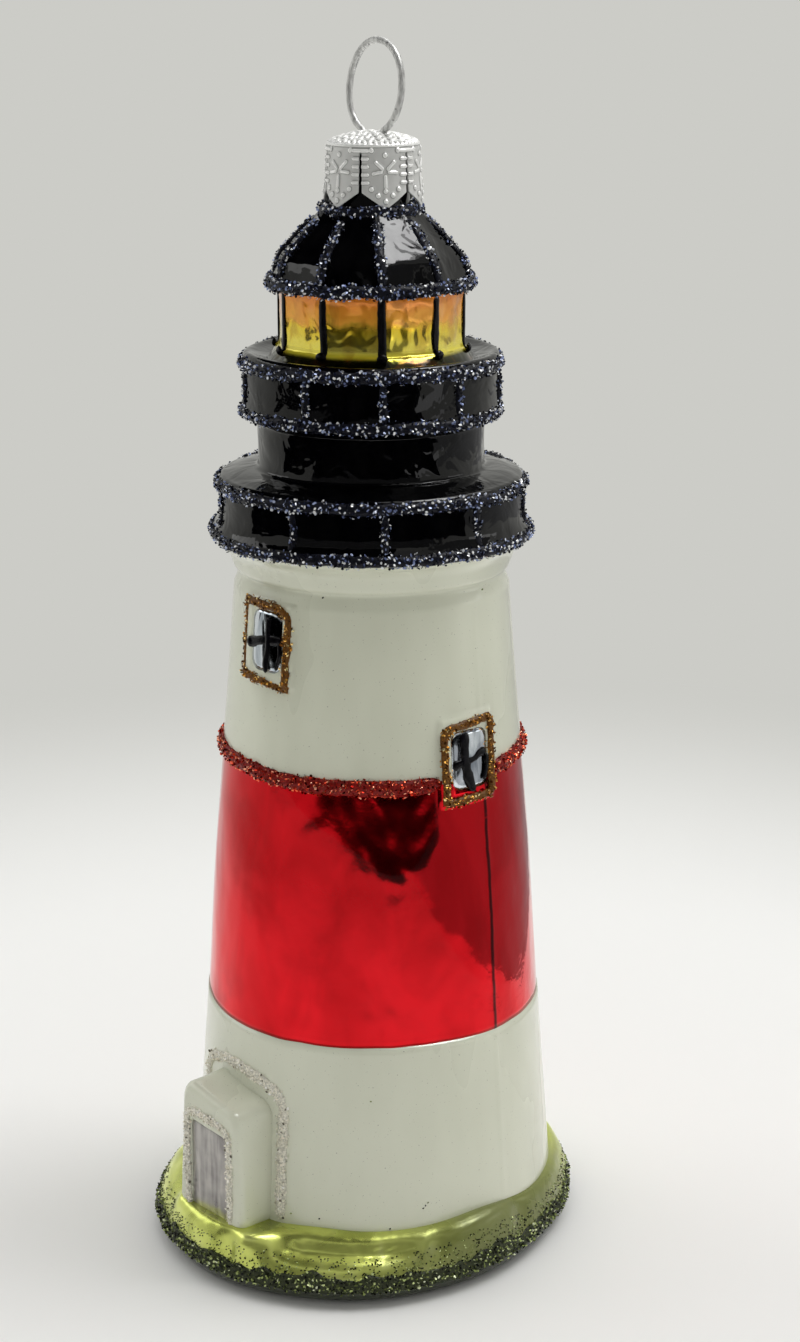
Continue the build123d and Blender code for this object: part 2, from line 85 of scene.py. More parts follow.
GLUE = 0.45                                          # glitter glue beyond the glass
MOUND_TOP = span("door_outline")[0].z - 0.4
RIM_Z = 2.4                                          # height of the mound's widest line
UNDERCUT = 3.3                                       # how far the mound draws in below it
RIM_X = half_width("mound_hem") - GLUE               # half axes of the oval rim and its middle
RIM_Y = (span("mound_hem")[1].y - span("mound_hem")[0].y) / 2 - GLUE
RIM_MIDDLE = (span("mound_hem")[1].y + span("mound_hem")[0].y) / 2
BAND_TOP = middle_z("band_ring")
BAND_FOOT = BAND_TOP - 35.5
LOW_FOOT = middle_z("lower_gallery_foot_ring") - 0.7
LOW_FOOT_R = half_width("lower_gallery_foot_ring") - GLUE
LOW_RIM = span("lower_gallery_top_ring")[1].z + 0.7
LOW_R = half_width("lower_gallery_top_ring") - GLUE
HIGH_FOOT = middle_z("upper_gallery_foot_ring") - 0.6
HIGH_RIM = span("upper_gallery_top_ring")[1].z + 0.7
HIGH_R = half_width("upper_gallery_top_ring") - GLUE
LANTERN_FOOT = span("lantern_mullions")[0].z
LANTERN_R = half_width("lantern_mullions") - 0.2
EAVE = middle_z("eave_ring")
EAVE_R = half_width("eave_ring") - GLUE
ROOF_TOP = span("neck_ring")[1].z + 0.1
ROOF_TOP_R = 6.3
NECK_R = 5.2
NECK_WALL = 0.9
CAP_TIP, CAP_TOP = span("cap_crown")[0].z, span("cap_crown")[1].z
CAP_R = half_width("cap_crown")
LOOP_FOOT, LOOP_TOP = span("hanger_wire")[0].z, span("hanger_wire")[1].z
WIRE = 0.9
LOOP_R = half_width("hanger_wire") - WIRE / 2
PORCH_FRONT = -span("door_outline")[0].y - GLUE + 0.3
PORCH_TOP = span("porch_outline")[1].z - 1.6
DOOR_X, DOOR_Z = -0.75, MOUND_TOP + 5.9              # middle of the door
DOOR_WIDTH, DOOR_HEIGHT = 8.0, 13.2
DRUM_R = HIGH_R - 1.9
TOWER_TOP = LOW_FOOT - 6.2
TOWER_TOP_R = LOW_R - 1.9
FOOT_R = 25.2
TAPER = (FOOT_R - TOWER_TOP_R) / (TOWER_TOP - MOUND_TOP)

WINDOWS = (
    # border node, azimuth and height of the pane, its width and height
    ("front_window_border", 2.2, middle_z("front_window_border") + 0.1, 4.7, 7.4),
    ("right_window_border", 86.0, middle_z("right_window_border") - 0.1, 5.2, 7.2),
    ("back_window_border", 182.2, middle_z("back_window_border") + 0.1, 4.7, 7.4),
    ("left_window_border", 266.0, middle_z("left_window_border") - 0.1, 5.2, 7.2),
)
WINDOW_REACH = (4.5, 5.9)      # half width and half height of a moulded window frame


# ---- shapes ----

def outward(azimuth):
    turn = math.radians(azimuth)
    return Vector((math.sin(turn), -math.cos(turn), 0))


def around(azimuth, radius, z):
    """Point at an azimuth, a radius and a height."""
    turn = math.radians(azimuth)
    return Vector((math.sin(turn) * radius, -math.cos(turn) * radius, z))


def angle_between(azimuth, other):
    """Signed difference of two azimuths, within half a turn."""
    return (azimuth - other + 180) % 360 - 180


def bump(x, width):
    """Smooth hump, 1 at the middle and near 0 beyond the width."""
    return math.exp(-((x / width) ** 2))


def step(x, low, high):
    """Smooth rise from 0 at low to 1 at high."""
    t = min(1.0, max(0.0, (x - low) / (high - low)))
    return t * t * (3 - 2 * t)


def ripple(point, size, seed):
    """Smooth irregularity between about -1 and 1; size is its grain in millimetres."""
    return noise.noise(Vector(point) / size + Vector((seed * 7.3, seed * 3.1, -seed * 5.7)))


def wander(turn, size, seed):
    """The same along a line, closed over a full turn in degrees."""
    return ripple(outward(turn) * 20, size, seed)


def smooth_line(points, per):
    """Catmull-Rom line through points of any dimension, with so many steps between each two."""
    points = [Vector(p) for p in points]
    ends = [2 * points[0] - points[1]] + points + [2 * points[-1] - points[-2]]
    line = []
    for a, b, c, d in zip(ends, ends[1:], ends[2:], ends[3:]):
        for i in range(per):
            t = i / per
            line.append(0.5 * (
                2 * b + (c - a) * t + (2 * a - 5 * b + 4 * c - d) * t * t
                + (3 * b - a - 3 * c + d) * t ** 3
            ))
    line.append(points[-1])
    return line


def steps_from(out, up, *steps):
    """Points of an outline at steps (out, up) from one place."""
    return [(out + a, up + b) for a, b in steps]


def tower_radius(z):
    """Outer radius of the tapering tower, with the slight swell of the glass."""
    return FOOT_R - TAPER * (z - MOUND_TOP) + 0.3 * bump(z - 55, 15)


def frame_relief(azimuth, z):
    """How far the moulded window frames stand out of the tower."""
    height = 0.0
    for _, middle, level, pane_width, pane_height in WINDOWS:
        across = math.radians(angle_between(azimuth, middle)) * tower_radius(z)
        up = z - level
        if abs(across) < 6 and abs(up) < 8:
            side = max(abs(across) / WINDOW_REACH[0], abs(up) / WINDOW_REACH[1])
            pane = max(abs(across) / (pane_width / 2 + 0.3), abs(up) / (pane_height / 2 + 0.3))
            raised = 1 - step(side, 0.9, 1.04)
            sunk = 1 - step(pane, 0.9, 1.15)
            height = max(height, 0.5 * raised - 0.2 * sunk)
    return height


def unevenness(azimuth, z):
    """How far the tower's glass strays from a true round."""
    return 0.05 * ripple(around(azimuth, 20, z), 14, 1)


def tower_skin(azimuth, z):
    """Radius of the tower's glass with its relief and its unevenness."""
    seam = min(abs(angle_between(azimuth, SEAM)), abs(angle_between(azimuth, SEAM + 180)))
    radius = tower_radius(z) + frame_relief(azimuth, z)
    radius += 0.07 * bump(seam * radius / 57.3, 0.35)          # 57.3 degrees to a radian
    return radius + unevenness(azimuth, z)


def on_tower(azimuth, z, lift=0.0):
    """Point on the tower's glass and the direction that faces out of it."""
    radius = tower_skin(azimuth, z) + lift
    normal = (outward(azimuth) + Vector((0, 0, TAPER))).normalized()
    return around(azimuth, radius, z), normal


def beside(azimuth, level, across, up, lift=0.0):
    """The same at a distance across and up from a spot on the tower."""
    z = level + up
    return on_tower(azimuth + math.degrees(across / tower_radius(z)), z, lift)


def even_loop(points, count):
    """A closed line of (x, y) resampled to evenly spaced points."""
    points = [Vector(p) for p in points]
    lengths = [(b - a).length for a, b in zip(points, points[1:] + points[:1])]
    total = sum(lengths)
    loop, start, i = [], 0.0, 0
    for k in range(count):
        target = total * k / count
        while start + lengths[i] < target:
            start += lengths[i]
            i += 1
        share = (target - start) / lengths[i] if lengths[i] else 0
        loop.append(points[i].lerp(points[(i + 1) % len(points)], share))
    return loop


def rounded(width, height, radius, count, taper=0.0):
    """Rounded rectangle about its middle, run leftwards round; taper narrows its top."""
    corners = []
    for k in range(4):
        for a in range(9):
            angle = math.radians(90 * k + 90 * a / 8)
            x = (width / 2 - radius) * (1 if k in (0, 3) else -1) + radius * math.cos(angle)
            y = (height / 2 - radius) * (1 if k in (0, 1) else -1) + radius * math.sin(angle)
            corners.append((x * (1 - taper * (y / height + 0.5)), y))
    return even_loop(corners, count)


def mesh_piece(name, points, faces, finish, smooth=True):
    """A new object from points in millimetres."""
    mesh = bpy.data.meshes.new(name)
    mesh.from_pydata([p * MM for p in points], [], faces)
    mesh.polygons.foreach_set("use_smooth", [smooth] * len(mesh.polygons))
    mesh.materials.append(finish)
    piece = bpy.data.objects.new(name, mesh)
    bpy.context.scene.collection.objects.link(piece)
    return piece


def grid_faces(rows, columns, close_rows, close_columns):
    """Quads of a grid whose rows rise and whose columns run round to the left."""
    faces = []
    for i in range(rows if close_rows else rows - 1):
        for j in range(columns if close_columns else columns - 1):
            a, b = i * columns, (i + 1) % rows * columns
            k = (j + 1) % columns
            faces.append((a + j, a + k, b + k, b + j))
    return faces


def fan(start, count, middle, upward=True):
    """Triangles between a closed row of points and a middle point above or below it."""
    pairs = [(start + j, start + (j + 1) % count) for j in range(count)]
    return [(a, b, middle) if upward else (b, a, middle) for a, b in pairs]


def turned(name, outline, finish, shape, columns=360):
    """Closed shell of revolution: an outline of radius and height, outside then inside."""
    points = [
        shape(360 * j / columns, radius, z, i)
        for i, (radius, z) in enumerate(outline)
        for j in range(columns)
    ]
    faces = grid_faces(len(outline), columns, True, True)
    return mesh_piece(name, points, faces, finish)


def joined(name, shells, finish, smooth=True):
    """One object from several lists of points and faces."""
    points, faces = [], []
    for some_points, some_faces in shells:
        start = len(points)
        points += some_points
        faces += [tuple(start + k for k in face) for face in some_faces]
    return mesh_piece(name, points, faces, finish, smooth)


def patch_on_tower(azimuth, level, outline, lift, dome, rings=6, thickness=0.25):
    """Domed patch that hugs the tower: points and faces; outline is across and up."""
    count = len(outline)
    centre_x = sum(x for x, _ in outline) / count
    centre_y = sum(y for _, y in outline) / count
    points = []
    for ring in range(rings):
        share = 1 - ring / rings
        rise = lift + dome * (1 - share ** 2)
        for x, y in outline:
            across = centre_x + (x - centre_x) * share
            up = centre_y + (y - centre_y) * share
            points.append(beside(azimuth, level, across, up, rise)[0])
    points.append(beside(azimuth, level, centre_x, centre_y, lift + dome)[0])
    under = len(points)
    points += [beside(azimuth, level, x, y, lift - thickness)[0] for x, y in outline]
    points.append(on_tower(azimuth, level, lift - thickness)[0])
    faces = grid_faces(rings, count, False, True)
    faces += fan((rings - 1) * count, count, under - 1)
    faces += [(under + j, under + k, k, j) for j, k in ((j, (j + 1) % count) for j in range(count))]
    faces += fan(under, count, len(points) - 1, False)
    return points, faces


TUBE_SIDES = 10


def tube(path, normals, widths, heights, closed, sides=TUBE_SIDES):
    """Flattened tube along a path: a bead of glue or a brush stroke, half sunk in its ground."""
    count = len(path)
    points = []
    for i in range(count):
        ahead = path[(i + 1) % count] if closed or i + 1 < count else path[i]
        behind = path[i - 1] if closed or i > 0 else path[i]
        along = (ahead - behind).normalized()
        normal = (normals[i] - along * normals[i].dot(along)).normalized()
        side = normal.cross(along)
        for k in range(sides):
            angle = 2 * math.pi * k / sides
            points.append(path[i] + side * (math.cos(angle) * widths[i] / 2)
                          + normal * (math.sin(angle) * heights[i]))
    faces = grid_faces(count, sides, closed, True)
    if not closed:
        faces.append(tuple(reversed(range(sides))))
        faces.append(tuple(range((count - 1) * sides, count * sides)))
    return points, faces


def stroke(path, normals, width, height, seed, closed=False, blunt=1.5):
    """A tube whose width wanders; open ends are rounded off."""
    widths, heights = [], []
    for point in path:
        swell = 1 + 0.16 * ripple(point, 2.2, seed) + 0.2 * ripple(point, 0.8, seed + 40)
        end = 1.0
        if not closed:
            near = min((point - path[0]).length, (point - path[-1]).length)
            end = math.sqrt(max(0.02, 1 - (1 - min(1, near * blunt / width)) ** 2))
        widths.append(width * swell * end)
        heights.append(height * end * (1 + 0.2 * ripple(point, 1.4, seed + 80)))
    return tube(path, normals, widths, heights, closed)


def finish_piece(piece, slot, *nodes):
    """Hands a finished piece over to the frame."""
    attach(piece, "root")
    if nodes:
        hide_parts(*nodes)
    return piece


# ---- finishes ----

class Signal:
    """A socket of a finish that takes part in sums."""

    def __init__(self, finish, socket):
        self.finish = finish
        self.socket = socket

    def sum(self, operation, *terms):
        return self.finish.node("ShaderNodeMath", {"operation": operation}, dict(enumerate(terms)))

    def __add__(self, other):
        return self.sum("ADD", self, other)

    def __radd__(self, other):
        return self.sum("ADD", other, self)

    def __sub__(self, other):
        return self.sum("SUBTRACT", self, other)

    def __rsub__(self, other):
        return self.sum("SUBTRACT", other, self)

    def __mul__(self, other):
        return self.sum("MULTIPLY", self, other)

    def __rmul__(self, other):
        return self.sum("MULTIPLY", other, self)

    def __truediv__(self, other):
        return self.sum("DIVIDE", self, other)

    def size(self):
        return self.sum("ABSOLUTE", self)

    def step(self, low, high):
        """0 below low, 1 above high, smooth between."""
        return self.finish.node(
            "ShaderNodeMapRange",
            {"interpolation_type": "SMOOTHSTEP"},
            {"Value": self, "From Min": low, "From Max": high},
        )


class Finish:
    """A material under construction, in millimetres of Object coordinates."""

    def __init__(self, name, **constants):
        self.material = bpy.data.materials.new(name)
        self.material.use_nodes = True
        self.tree = self.material.node_tree
        self.shader = self.tree.nodes["Principled BSDF"]
        for socket, value in constants.items():
            self.set(socket.replace("_", " "), value)
        self.place = self.node("ShaderNodeTexCoord", {}, {}, "Object")
        self.place = self.node(
            "ShaderNodeVectorMath", {"operation": "SCALE"}, {0: self.place, "Scale": 1 / MM}
        )

    def node(self, kind, settings, inputs, output=0):
        """Adds any node: its settings come first, then the values and links of its sockets."""
        made = self.tree.nodes.new(kind)
        for name, value in settings.items():
            if name == "stops":
                ramp = made.color_ramp
                while len(ramp.elements) < len(value):
                    ramp.elements.new(0.5)
                for element, (position, colour) in zip(ramp.elements, value):
                    element.position = position
                    element.color = (*colour, 1)
            else:
                setattr(made, name, value)
        for name, value in inputs.items():
            self.connect(made.inputs[name], value)
        return Signal(self, made.outputs[output])

    def connect(self, socket, value):
        if isinstance(value, Signal):
            self.tree.links.new(value.socket, socket)
        elif socket.type == "RGBA":
            socket.default_value = (*value, 1)
        else:
            socket.default_value = value

    def set(self, name, value):
        """Sets or links a socket of the Principled shader."""
        self.connect(self.shader.inputs[name], value)

    def height(self):
        return self.node("ShaderNodeSeparateXYZ", {}, {0: self.place}, "Z")

    def along(self, direction):
        """Distance along a direction from the ornament's axis."""
        inputs = {0: self.place, 1: direction}
        return self.node("ShaderNodeVectorMath", {"operation": "DOT_PRODUCT"}, inputs, "Value")

    def noise(self, size, detail=2.0, stretch=(1, 1, 1), shift=(0, 0, 0), warp=0.0):
        """Noise whose grain is about so many millimetres, on stretched and shifted coordinates."""
        spots = {"Vector": self.place, "Scale": stretch, "Location": shift}
        moved = self.node("ShaderNodeMapping", {}, spots)
        inputs = {"Vector": moved, "Scale": 1 / size, "Detail": detail, "Distortion": warp}
        return self.node("ShaderNodeTexNoise", {}, inputs, "Fac")

    def attribute(self, name):
        """The numbers that a piece stores under a name."""
        return self.node("ShaderNodeAttribute", {"attribute_name": name}, {}, "Fac")

    def ramp(self, value, *stops):
        return self.node("ShaderNodeValToRGB", {"stops": stops}, {"Fac": value}, "Color")

    def mix(self, share, first, second):
        """Colour mix; share is a number or a signal."""
        return self.node("ShaderNodeMix", {"data_type": "RGBA"}, {0: share, 6: first, 7: second}, 2)

    def bump(self, height, depth, distance=1.0, before=None):
        """Adds relief; height is a signal and distance is in millimetres."""
        inputs = {"Height": height, "Strength": depth, "Distance": distance * MM}
        if before is not None:
            inputs["Normal"] = before
        relief = self.node("ShaderNodeBump", {}, inputs)
        self.set("Normal", relief)
        return relief


def coated(maker, colours):
    """The finish that a maker builds, built only once."""
    return bpy.data.materials.get(maker.__name__) or maker(colours)


def pearl_lacquer(colours):
    """White lacquer over silvered glass: cloudy, with a glassy top."""
    finish = Finish("pearl_lacquer", IOR=1.5, Coat_Weight=0.6, Coat_Roughness=0.06)
    clouds = finish.noise(16, 3, stretch=(1, 1, 0.45))
    drift = finish.noise(5, 2, stretch=(1, 1, 0.3), shift=(40, 0, 0))
    tone = finish.ramp(
        0.7 * clouds + 0.3 * drift, (0.3, colours.lacquer_shade), (0.62, colours.lacquer)
    )
    grain = finish.noise(0.22, 1, shift=(9, 4, 2)).step(0.745, 0.77)
    finish.set("Base Color", finish.mix(0.65 * grain, tone, (0.12, 0.1, 0.08)))
    finish.set("Roughness", 0.2 + 0.16 * clouds)
    swell = finish.bump(finish.noise(9, 2, shift=(3, 7, 1)), 0.25, 0.6)
    finish.bump(finish.noise(1.1, 2, shift=(1, 9, 5)), 0.08, 0.12, swell)
    return finish.material


def red_lacquer(colours):
    """Clear red lacquer on the silvered glass, with its wobble and the dark seam."""
    finish = Finish("red_lacquer", IOR=1.5, Coat_Weight=0.15, Coat_Roughness=0.02)
    tangent = (math.cos(math.radians(SEAM)), math.sin(math.radians(SEAM)), 0)
    offset = finish.along(tangent) + 0.5 * finish.noise(3, 1)
    dashes = finish.noise(2.2, 2, stretch=(0.1, 0.1, 1), shift=(0, 0, 5)).step(0.3, 0.38)
    scar = (1 - (offset - 0.25).size().step(0.12, 0.46)) * dashes
    pooled = finish.noise(7, 3, stretch=(1, 1, 0.5), shift=(5, 5, 5), warp=0.6)
    rich = finish.ramp(pooled, (0.35, colours.red_deep), (0.6, colours.red))
    finish.set("Base Color", finish.mix(0.9 * scar, rich, (0.02, 0.002, 0.003)))
    finish.set("Metallic", 0.98)
    finish.set("Roughness", 0.04 + 0.09 * finish.noise(4, 2, shift=(2, 0, 8)))
    slow = finish.bump(finish.noise(10, 2, stretch=(1, 1, 0.6), warp=0.4), 0.5, 0.9)
    rumpled = 0.25 + 1.2 * finish.along(outward(120)).step(16, 25)
    fine = finish.noise(2.6, 3, stretch=(1, 1, 0.8), shift=(4, 2, 0), warp=0.3)
    finish.bump(rumpled * fine, 0.4, 0.15, slow)
    return finish.material


def brushed_black(colours):
    """Glossy black, brushed on by hand."""
    finish = Finish("brushed_black", IOR=1.38)
    streaks = finish.noise(1.6, 3, stretch=(1, 1, 0.18))
    tone = finish.ramp(streaks, (0.35, colours.black), (0.75, (0.0022, 0.0022, 0.0025)))
    finish.set("Base Color", tone)
    finish.set("Roughness", 0.005 + 0.05 * streaks)
    slow = finish.bump(finish.noise(4.2, 2, shift=(6, 1, 3), warp=0.8), 0.4, 0.5)
    finish.bump(streaks, 0.25, 0.08, slow)
    return finish.material


def amber_lacquer(colours):
    """Amber lacquer on silvered glass: yellow-green below, orange above, olive at the foot."""
    finish = Finish("amber_lacquer", IOR=1.5, Coat_Weight=0.35, Coat_Roughness=0.03)
    wobble = finish.noise(2.6, 2, shift=(3, 0, 0), warp=0.8)
    level = (finish.height() - LANTERN_FOOT + 1.4) / 9.5
    blotch = level + 0.4 * (wobble - 0.5) * level.step(0.2, 0.4)
    tone = finish.ramp(
        blotch,
        (0.05, (0.015, 0.015, 0.002)),
        (0.13, (0.04, 0.04, 0.004)),
        (0.19, (0.98, 0.85, 0.06)),
        (0.27, colours.amber_low),
        (0.5, (0.98, 0.72, 0.05)),
        (0.64, colours.amber),
        (0.97, (0.95, 0.28, 0.03)),
    )
    smoke = finish.noise(2.4, 2, stretch=(1, 1, 0.55), shift=(11, 3, 0), warp=0.6).step(0.5, 0.68)
    finish.set("Base Color", finish.mix(0.35 * smoke, tone, (0.34, 0.11, 0.01)))
    crease = 1 - (level - 0.2).size().step(0.02, 0.07)
    finish.set("Metallic", 0.9 - 0.6 * blotch.step(0.5, 0.68) - 0.55 * crease)
    finish.set("Roughness", 0.06 + 0.12 * wobble)
    finish.bump(finish.noise(3.0, 1, shift=(8, 2, 1), warp=0.6), 0.8, 0.45)
    return finish.material


def moss_lacquer(colours):
    """Yellow-green lacquer on silvered glass, with painted shade under the rim and on the side
    towards azimuth 98.
    """
    finish = Finish("moss_lacquer", IOR=1.5, Coat_Roughness=0.05)
    cloud = finish.noise(6, 3, shift=(2, 5, 0), warp=0.4)
    tone = finish.ramp(
        cloud, (0.3, colours.moss_deep), (0.55, colours.moss), (0.75, (0.95, 1.0, 0.38))
    )
    edge = finish.height() + 2.4 * (finish.noise(1.6, 3) - 0.5)
    # painted shade: below the rim the lacquer is nearly black, where the underside curls in towards
    # the floor
    under = 1 - edge.step(2.4, 3.0)
    # painted shade: the side towards azimuth 98 is mixed towards dark olive, and is also less
    # metallic and less coated
    dull_shaded_side = (finish.along(outward(98)) + 8 * (cloud - 0.5)).step(14, 27)
    tone = finish.mix(0.9 * dull_shaded_side, tone, (0.105, 0.12, 0.03))
    finish.set("Base Color", finish.mix(under, tone, (0.022, 0.028, 0.012)))
    finish.set("Metallic", 0.82 - 0.72 * under - 0.6 * dull_shaded_side * (1 - under))
    finish.set("Coat Weight", 0.3 - 0.22 * dull_shaded_side)
    finish.set("Roughness", 0.18 + 0.22 * cloud)
    slow = finish.bump(finish.noise(5, 2, shift=(1, 1, 9), warp=0.5), 0.5, 0.7)
    finish.bump(finish.noise(1.1, 2, shift=(5, 0, 2)), 0.15, 0.1, slow)
    return finish.material


def silvered_pane(colours):
    """Bare silvered glass of the windows."""
    finish = Finish("silvered_pane", IOR=1.5, Metallic=1.0)
    streak = finish.noise(1.5, 2, stretch=(1, 1, 0.25), shift=(7, 7, 0), warp=0.5)
    finish.set("Base Color", finish.ramp(streak, (0.3, (0.42, 0.47, 0.52)), (0.6, colours.silver)))
    finish.set("Roughness", 0.06 + 0.16 * streak)
    finish.bump(finish.noise(2.2, 1, stretch=(1, 1, 0.3), warp=0.6), 0.5, 0.4)
    return finish.material


def door_silver(colours):
    """Mauve-grey silvered panel with upright streaks."""
    finish = Finish("door_silver", IOR=1.5, Coat_Weight=0.5, Coat_Roughness=0.1)
    streak = finish.noise(1.1, 2, stretch=(1, 1, 0.12), warp=0.3)
    smudge = finish.noise(3.5, 3, shift=(4, 0, 4))
    tone = finish.ramp(
        0.6 * streak + 0.4 * smudge,
        (0.3, (0.16, 0.145, 0.15)), (0.55, colours.door), (0.8, (0.62, 0.6, 0.59)),
    )
    finish.set("Base Color", tone)
    finish.set("Metallic", 0.5)
    finish.set("Roughness", 0.22 + 0.2 * smudge)
    finish.bump(streak, 0.35, 0.25)
    return finish.material


def brushed_paint(colours):
    """Thick dark paint of the window bars and lantern bars."""
    finish = Finish("brushed_paint", IOR=1.3)
    streak = finish.noise(0.8, 3, stretch=(1, 1, 0.4))
    tone = finish.ramp(streak, (0.3, (0.002, 0.002, 0.002)), (0.8, colours.paint))
    finish.set("Base Color", tone)
    finish.set("Roughness", 0.1 + 0.2 * streak)
    finish.bump(streak, 0.4, 0.1)
    return finish.material


def stamped_metal(colours):
    """Bright stamped sheet, with painted shade in its hollows and round its raised marks and a
    painted highlight on their tops.
    """
    finish = Finish("stamped_metal", Metallic=0.25)
    relief = finish.attribute("relief")
    smudge = finish.noise(1.6, 3)
    # painted shade: the flat sheet is grey and a dark ring runs round each raised mark; painted
    # highlight: the tops of the marks are brightest
    tone = finish.ramp(
        relief + 0.2 * (smudge - 0.5),
        (0.05, colours.metal_hollow), (0.22, (0.27, 0.27, 0.26)), (0.5, colours.metal),
    )
    finish.set("Base Color", tone)
    finish.set("Roughness", 0.44 - 0.2 * relief + 0.12 * (smudge - 0.5))
    finish.bump(finish.noise(0.35, 2), 0.2, 0.05)
    return finish.material


def drawn_wire(colours):
    """Bright wire with fine draw marks and a few dark nicks."""
    finish = Finish("drawn_wire", Metallic=0.45)
    marks = finish.noise(0.4, 3, stretch=(1, 1, 0.3))
    nicks = finish.noise(0.7, 1, shift=(2, 2, 2)).step(0.7, 0.76)
    tone = finish.ramp(marks, (0.3, (0.42, 0.42, 0.41)), (0.7, colours.wire))
    finish.set("Base Color", finish.mix(0.7 * nicks, tone, (0.1, 0.1, 0.1)))
    finish.set("Roughness", 0.26 + 0.2 * marks)
    finish.bump(marks, 0.2, 0.04)
    return finish.material


# ---- Geometry Nodes ----

def grow(tree, kind, settings, inputs):
    """Adds a Geometry node: its settings, then the values and links of its sockets."""
    made = tree.nodes.new(kind)
    for name, value in settings.items():
        setattr(made, name, value)
    for name, value in inputs.items():
        if isinstance(value, bpy.types.NodeSocket):
            tree.links.new(value, made.inputs[name])
        else:
            made.inputs[name].default_value = value
    return made


def new_tree(name, inputs):
    """A Geometry Nodes tree with named inputs; each is a name, a kind and a default."""
    tree = bpy.data.node_groups.new(name, "GeometryNodeTree")
    tree.interface.new_socket("Geometry", in_out="INPUT", socket_type="NodeSocketGeometry")
    for label, kind, default in inputs:
        socket = tree.interface.new_socket(label, in_out="INPUT", socket_type="NodeSocket" + kind)
        if default is not None:
            socket.default_value = default
    tree.interface.new_socket("Geometry", in_out="OUTPUT", socket_type="NodeSocketGeometry")
    given = tree.nodes.new("NodeGroupInput").outputs
    return tree, given


def end_tree(tree, geometry, finish):
    """Realize Instances, Set Material and the tree's output."""
    real = grow(tree, "GeometryNodeRealizeInstances", {}, {"Geometry": geometry})
    inputs = {"Geometry": real.outputs[0], "Material": finish}
    dressed = grow(tree, "GeometryNodeSetMaterial", {}, inputs)
    grow(tree, "NodeGroupOutput", {}, {0: dressed.outputs[0]})


def maths(tree, operation, first, second):
    """A sum of two values or sockets."""
    settings = {"operation": operation}
    return grow(tree, "ShaderNodeMath", settings, {0: first, 1: second}).outputs[0]


def glitter_tree():
    """Flakes strewn over the glue, tilted and raised at random, each with a tint."""
    tree, given = new_tree("strewn_glitter", (
        ("Density", "Float", 11.0),
        ("Flake", "Float", 0.3),
        ("Thickness", "Float", 0.16),
        ("Tilt", "Float", 1.1),
        ("Rise", "Float", 0.26),
        ("Seed", "Int", 1),
        ("Finish", "Material", None),
    ))

    def times(first, second):
        return maths(tree, "MULTIPLY", first, second)

    def random(kind, low, high, shift):
        lowest, highest, result = {"FLOAT": (2, 3, 1), "FLOAT_VECTOR": (0, 1, 0)}[kind]
        inputs = {lowest: low, highest: high, "Seed": maths(tree, "ADD", given["Seed"], shift)}
        return grow(tree, "FunctionNodeRandomValue", {"data_type": kind}, inputs).outputs[result]

    cover = grow(tree, "GeometryNodeInputNamedAttribute", {"data_type": "FLOAT"}, {"Name": "cover"})
    per_area = times(times(given["Density"], cover.outputs[0]), 1 / MM / MM)
    strewn = grow(tree, "GeometryNodeDistributePointsOnFaces", {}, {
        "Mesh": given["Geometry"], "Density": per_area, "Seed": given["Seed"]})
    rise = times(random("FLOAT", -0.4, 1.0, 1), times(given["Rise"], MM))
    lift = grow(tree, "ShaderNodeVectorMath", {"operation": "SCALE"}, {
        0: strewn.outputs["Normal"], "Scale": rise})
    raised = grow(tree, "GeometryNodeSetPosition", {}, {
        "Geometry": strewn.outputs["Points"], "Offset": lift.outputs[0]})
    ball = grow(tree, "GeometryNodeMeshUVSphere", {}, {"Segments": 5, "Rings": 2, "Radius": 0.5})
    flake = grow(tree, "GeometryNodeSetShadeSmooth", {}, {
        "Geometry": ball.outputs[0], "Shade Smooth": False})
    back = times(given["Tilt"], -1)
    low = grow(tree, "ShaderNodeCombineXYZ", {}, {0: back, 1: back, 2: -math.pi})
    high = grow(tree, "ShaderNodeCombineXYZ", {}, {0: given["Tilt"], 1: given["Tilt"], 2: math.pi})
    angles = random("FLOAT_VECTOR", low.outputs[0], high.outputs[0], 2)
    tilt = grow(tree, "FunctionNodeEulerToRotation", {}, {0: angles})
    facing = grow(tree, "FunctionNodeRotateRotation", {"rotation_space": "LOCAL"}, {
        0: strewn.outputs["Rotation"], 1: tilt.outputs[0]})
    size = times(given["Flake"], MM)
    long = times(size, random("FLOAT", 0.75, 1.25, 3))
    wide = times(size, random("FLOAT", 0.6, 1.0, 4))
    thick = times(size, given["Thickness"])
    scale = grow(tree, "ShaderNodeCombineXYZ", {}, {0: long, 1: wide, 2: thick})
    placed = grow(tree, "GeometryNodeInstanceOnPoints", {}, {
        "Points": raised.outputs[0], "Instance": flake.outputs[0],
        "Rotation": facing.outputs[0], "Scale": scale.outputs[0]})
    settings = {"data_type": "FLOAT", "domain": "INSTANCE"}
    tinted = grow(tree, "GeometryNodeStoreNamedAttribute", settings, {
        "Geometry": placed.outputs[0], "Name": "tint", "Value": random("FLOAT", 0.03, 1.0, 5)})
    whole = grow(tree, "GeometryNodeJoinGeometry", {}, {})
    tree.links.new(tinted.outputs[0], whole.inputs[0])
    tree.links.new(given["Geometry"], whole.inputs[0])
    end_tree(tree, whole.outputs[0], given["Finish"])
    return tree


def ring_tree():
    """Copies of a piece, evenly turned about the ornament's axis."""
    tree, given = new_tree("turned_copies", (("Count", "Int", 6), ("Finish", "Material", None)))
    points = grow(tree, "GeometryNodePoints", {}, {"Count": given["Count"]})
    index = grow(tree, "GeometryNodeInputIndex", {}, {})
    share = maths(tree, "DIVIDE", index.outputs[0], given["Count"])
    angle = maths(tree, "MULTIPLY", share, 2 * math.pi)
    turn = grow(tree, "ShaderNodeCombineXYZ", {}, {2: angle})
    placed = grow(tree, "GeometryNodeInstanceOnPoints", {}, {
        "Points": points.outputs[0], "Instance": given["Geometry"], "Rotation": turn.outputs[0]})
    end_tree(tree, placed.outputs[0], given["Finish"])
    return tree


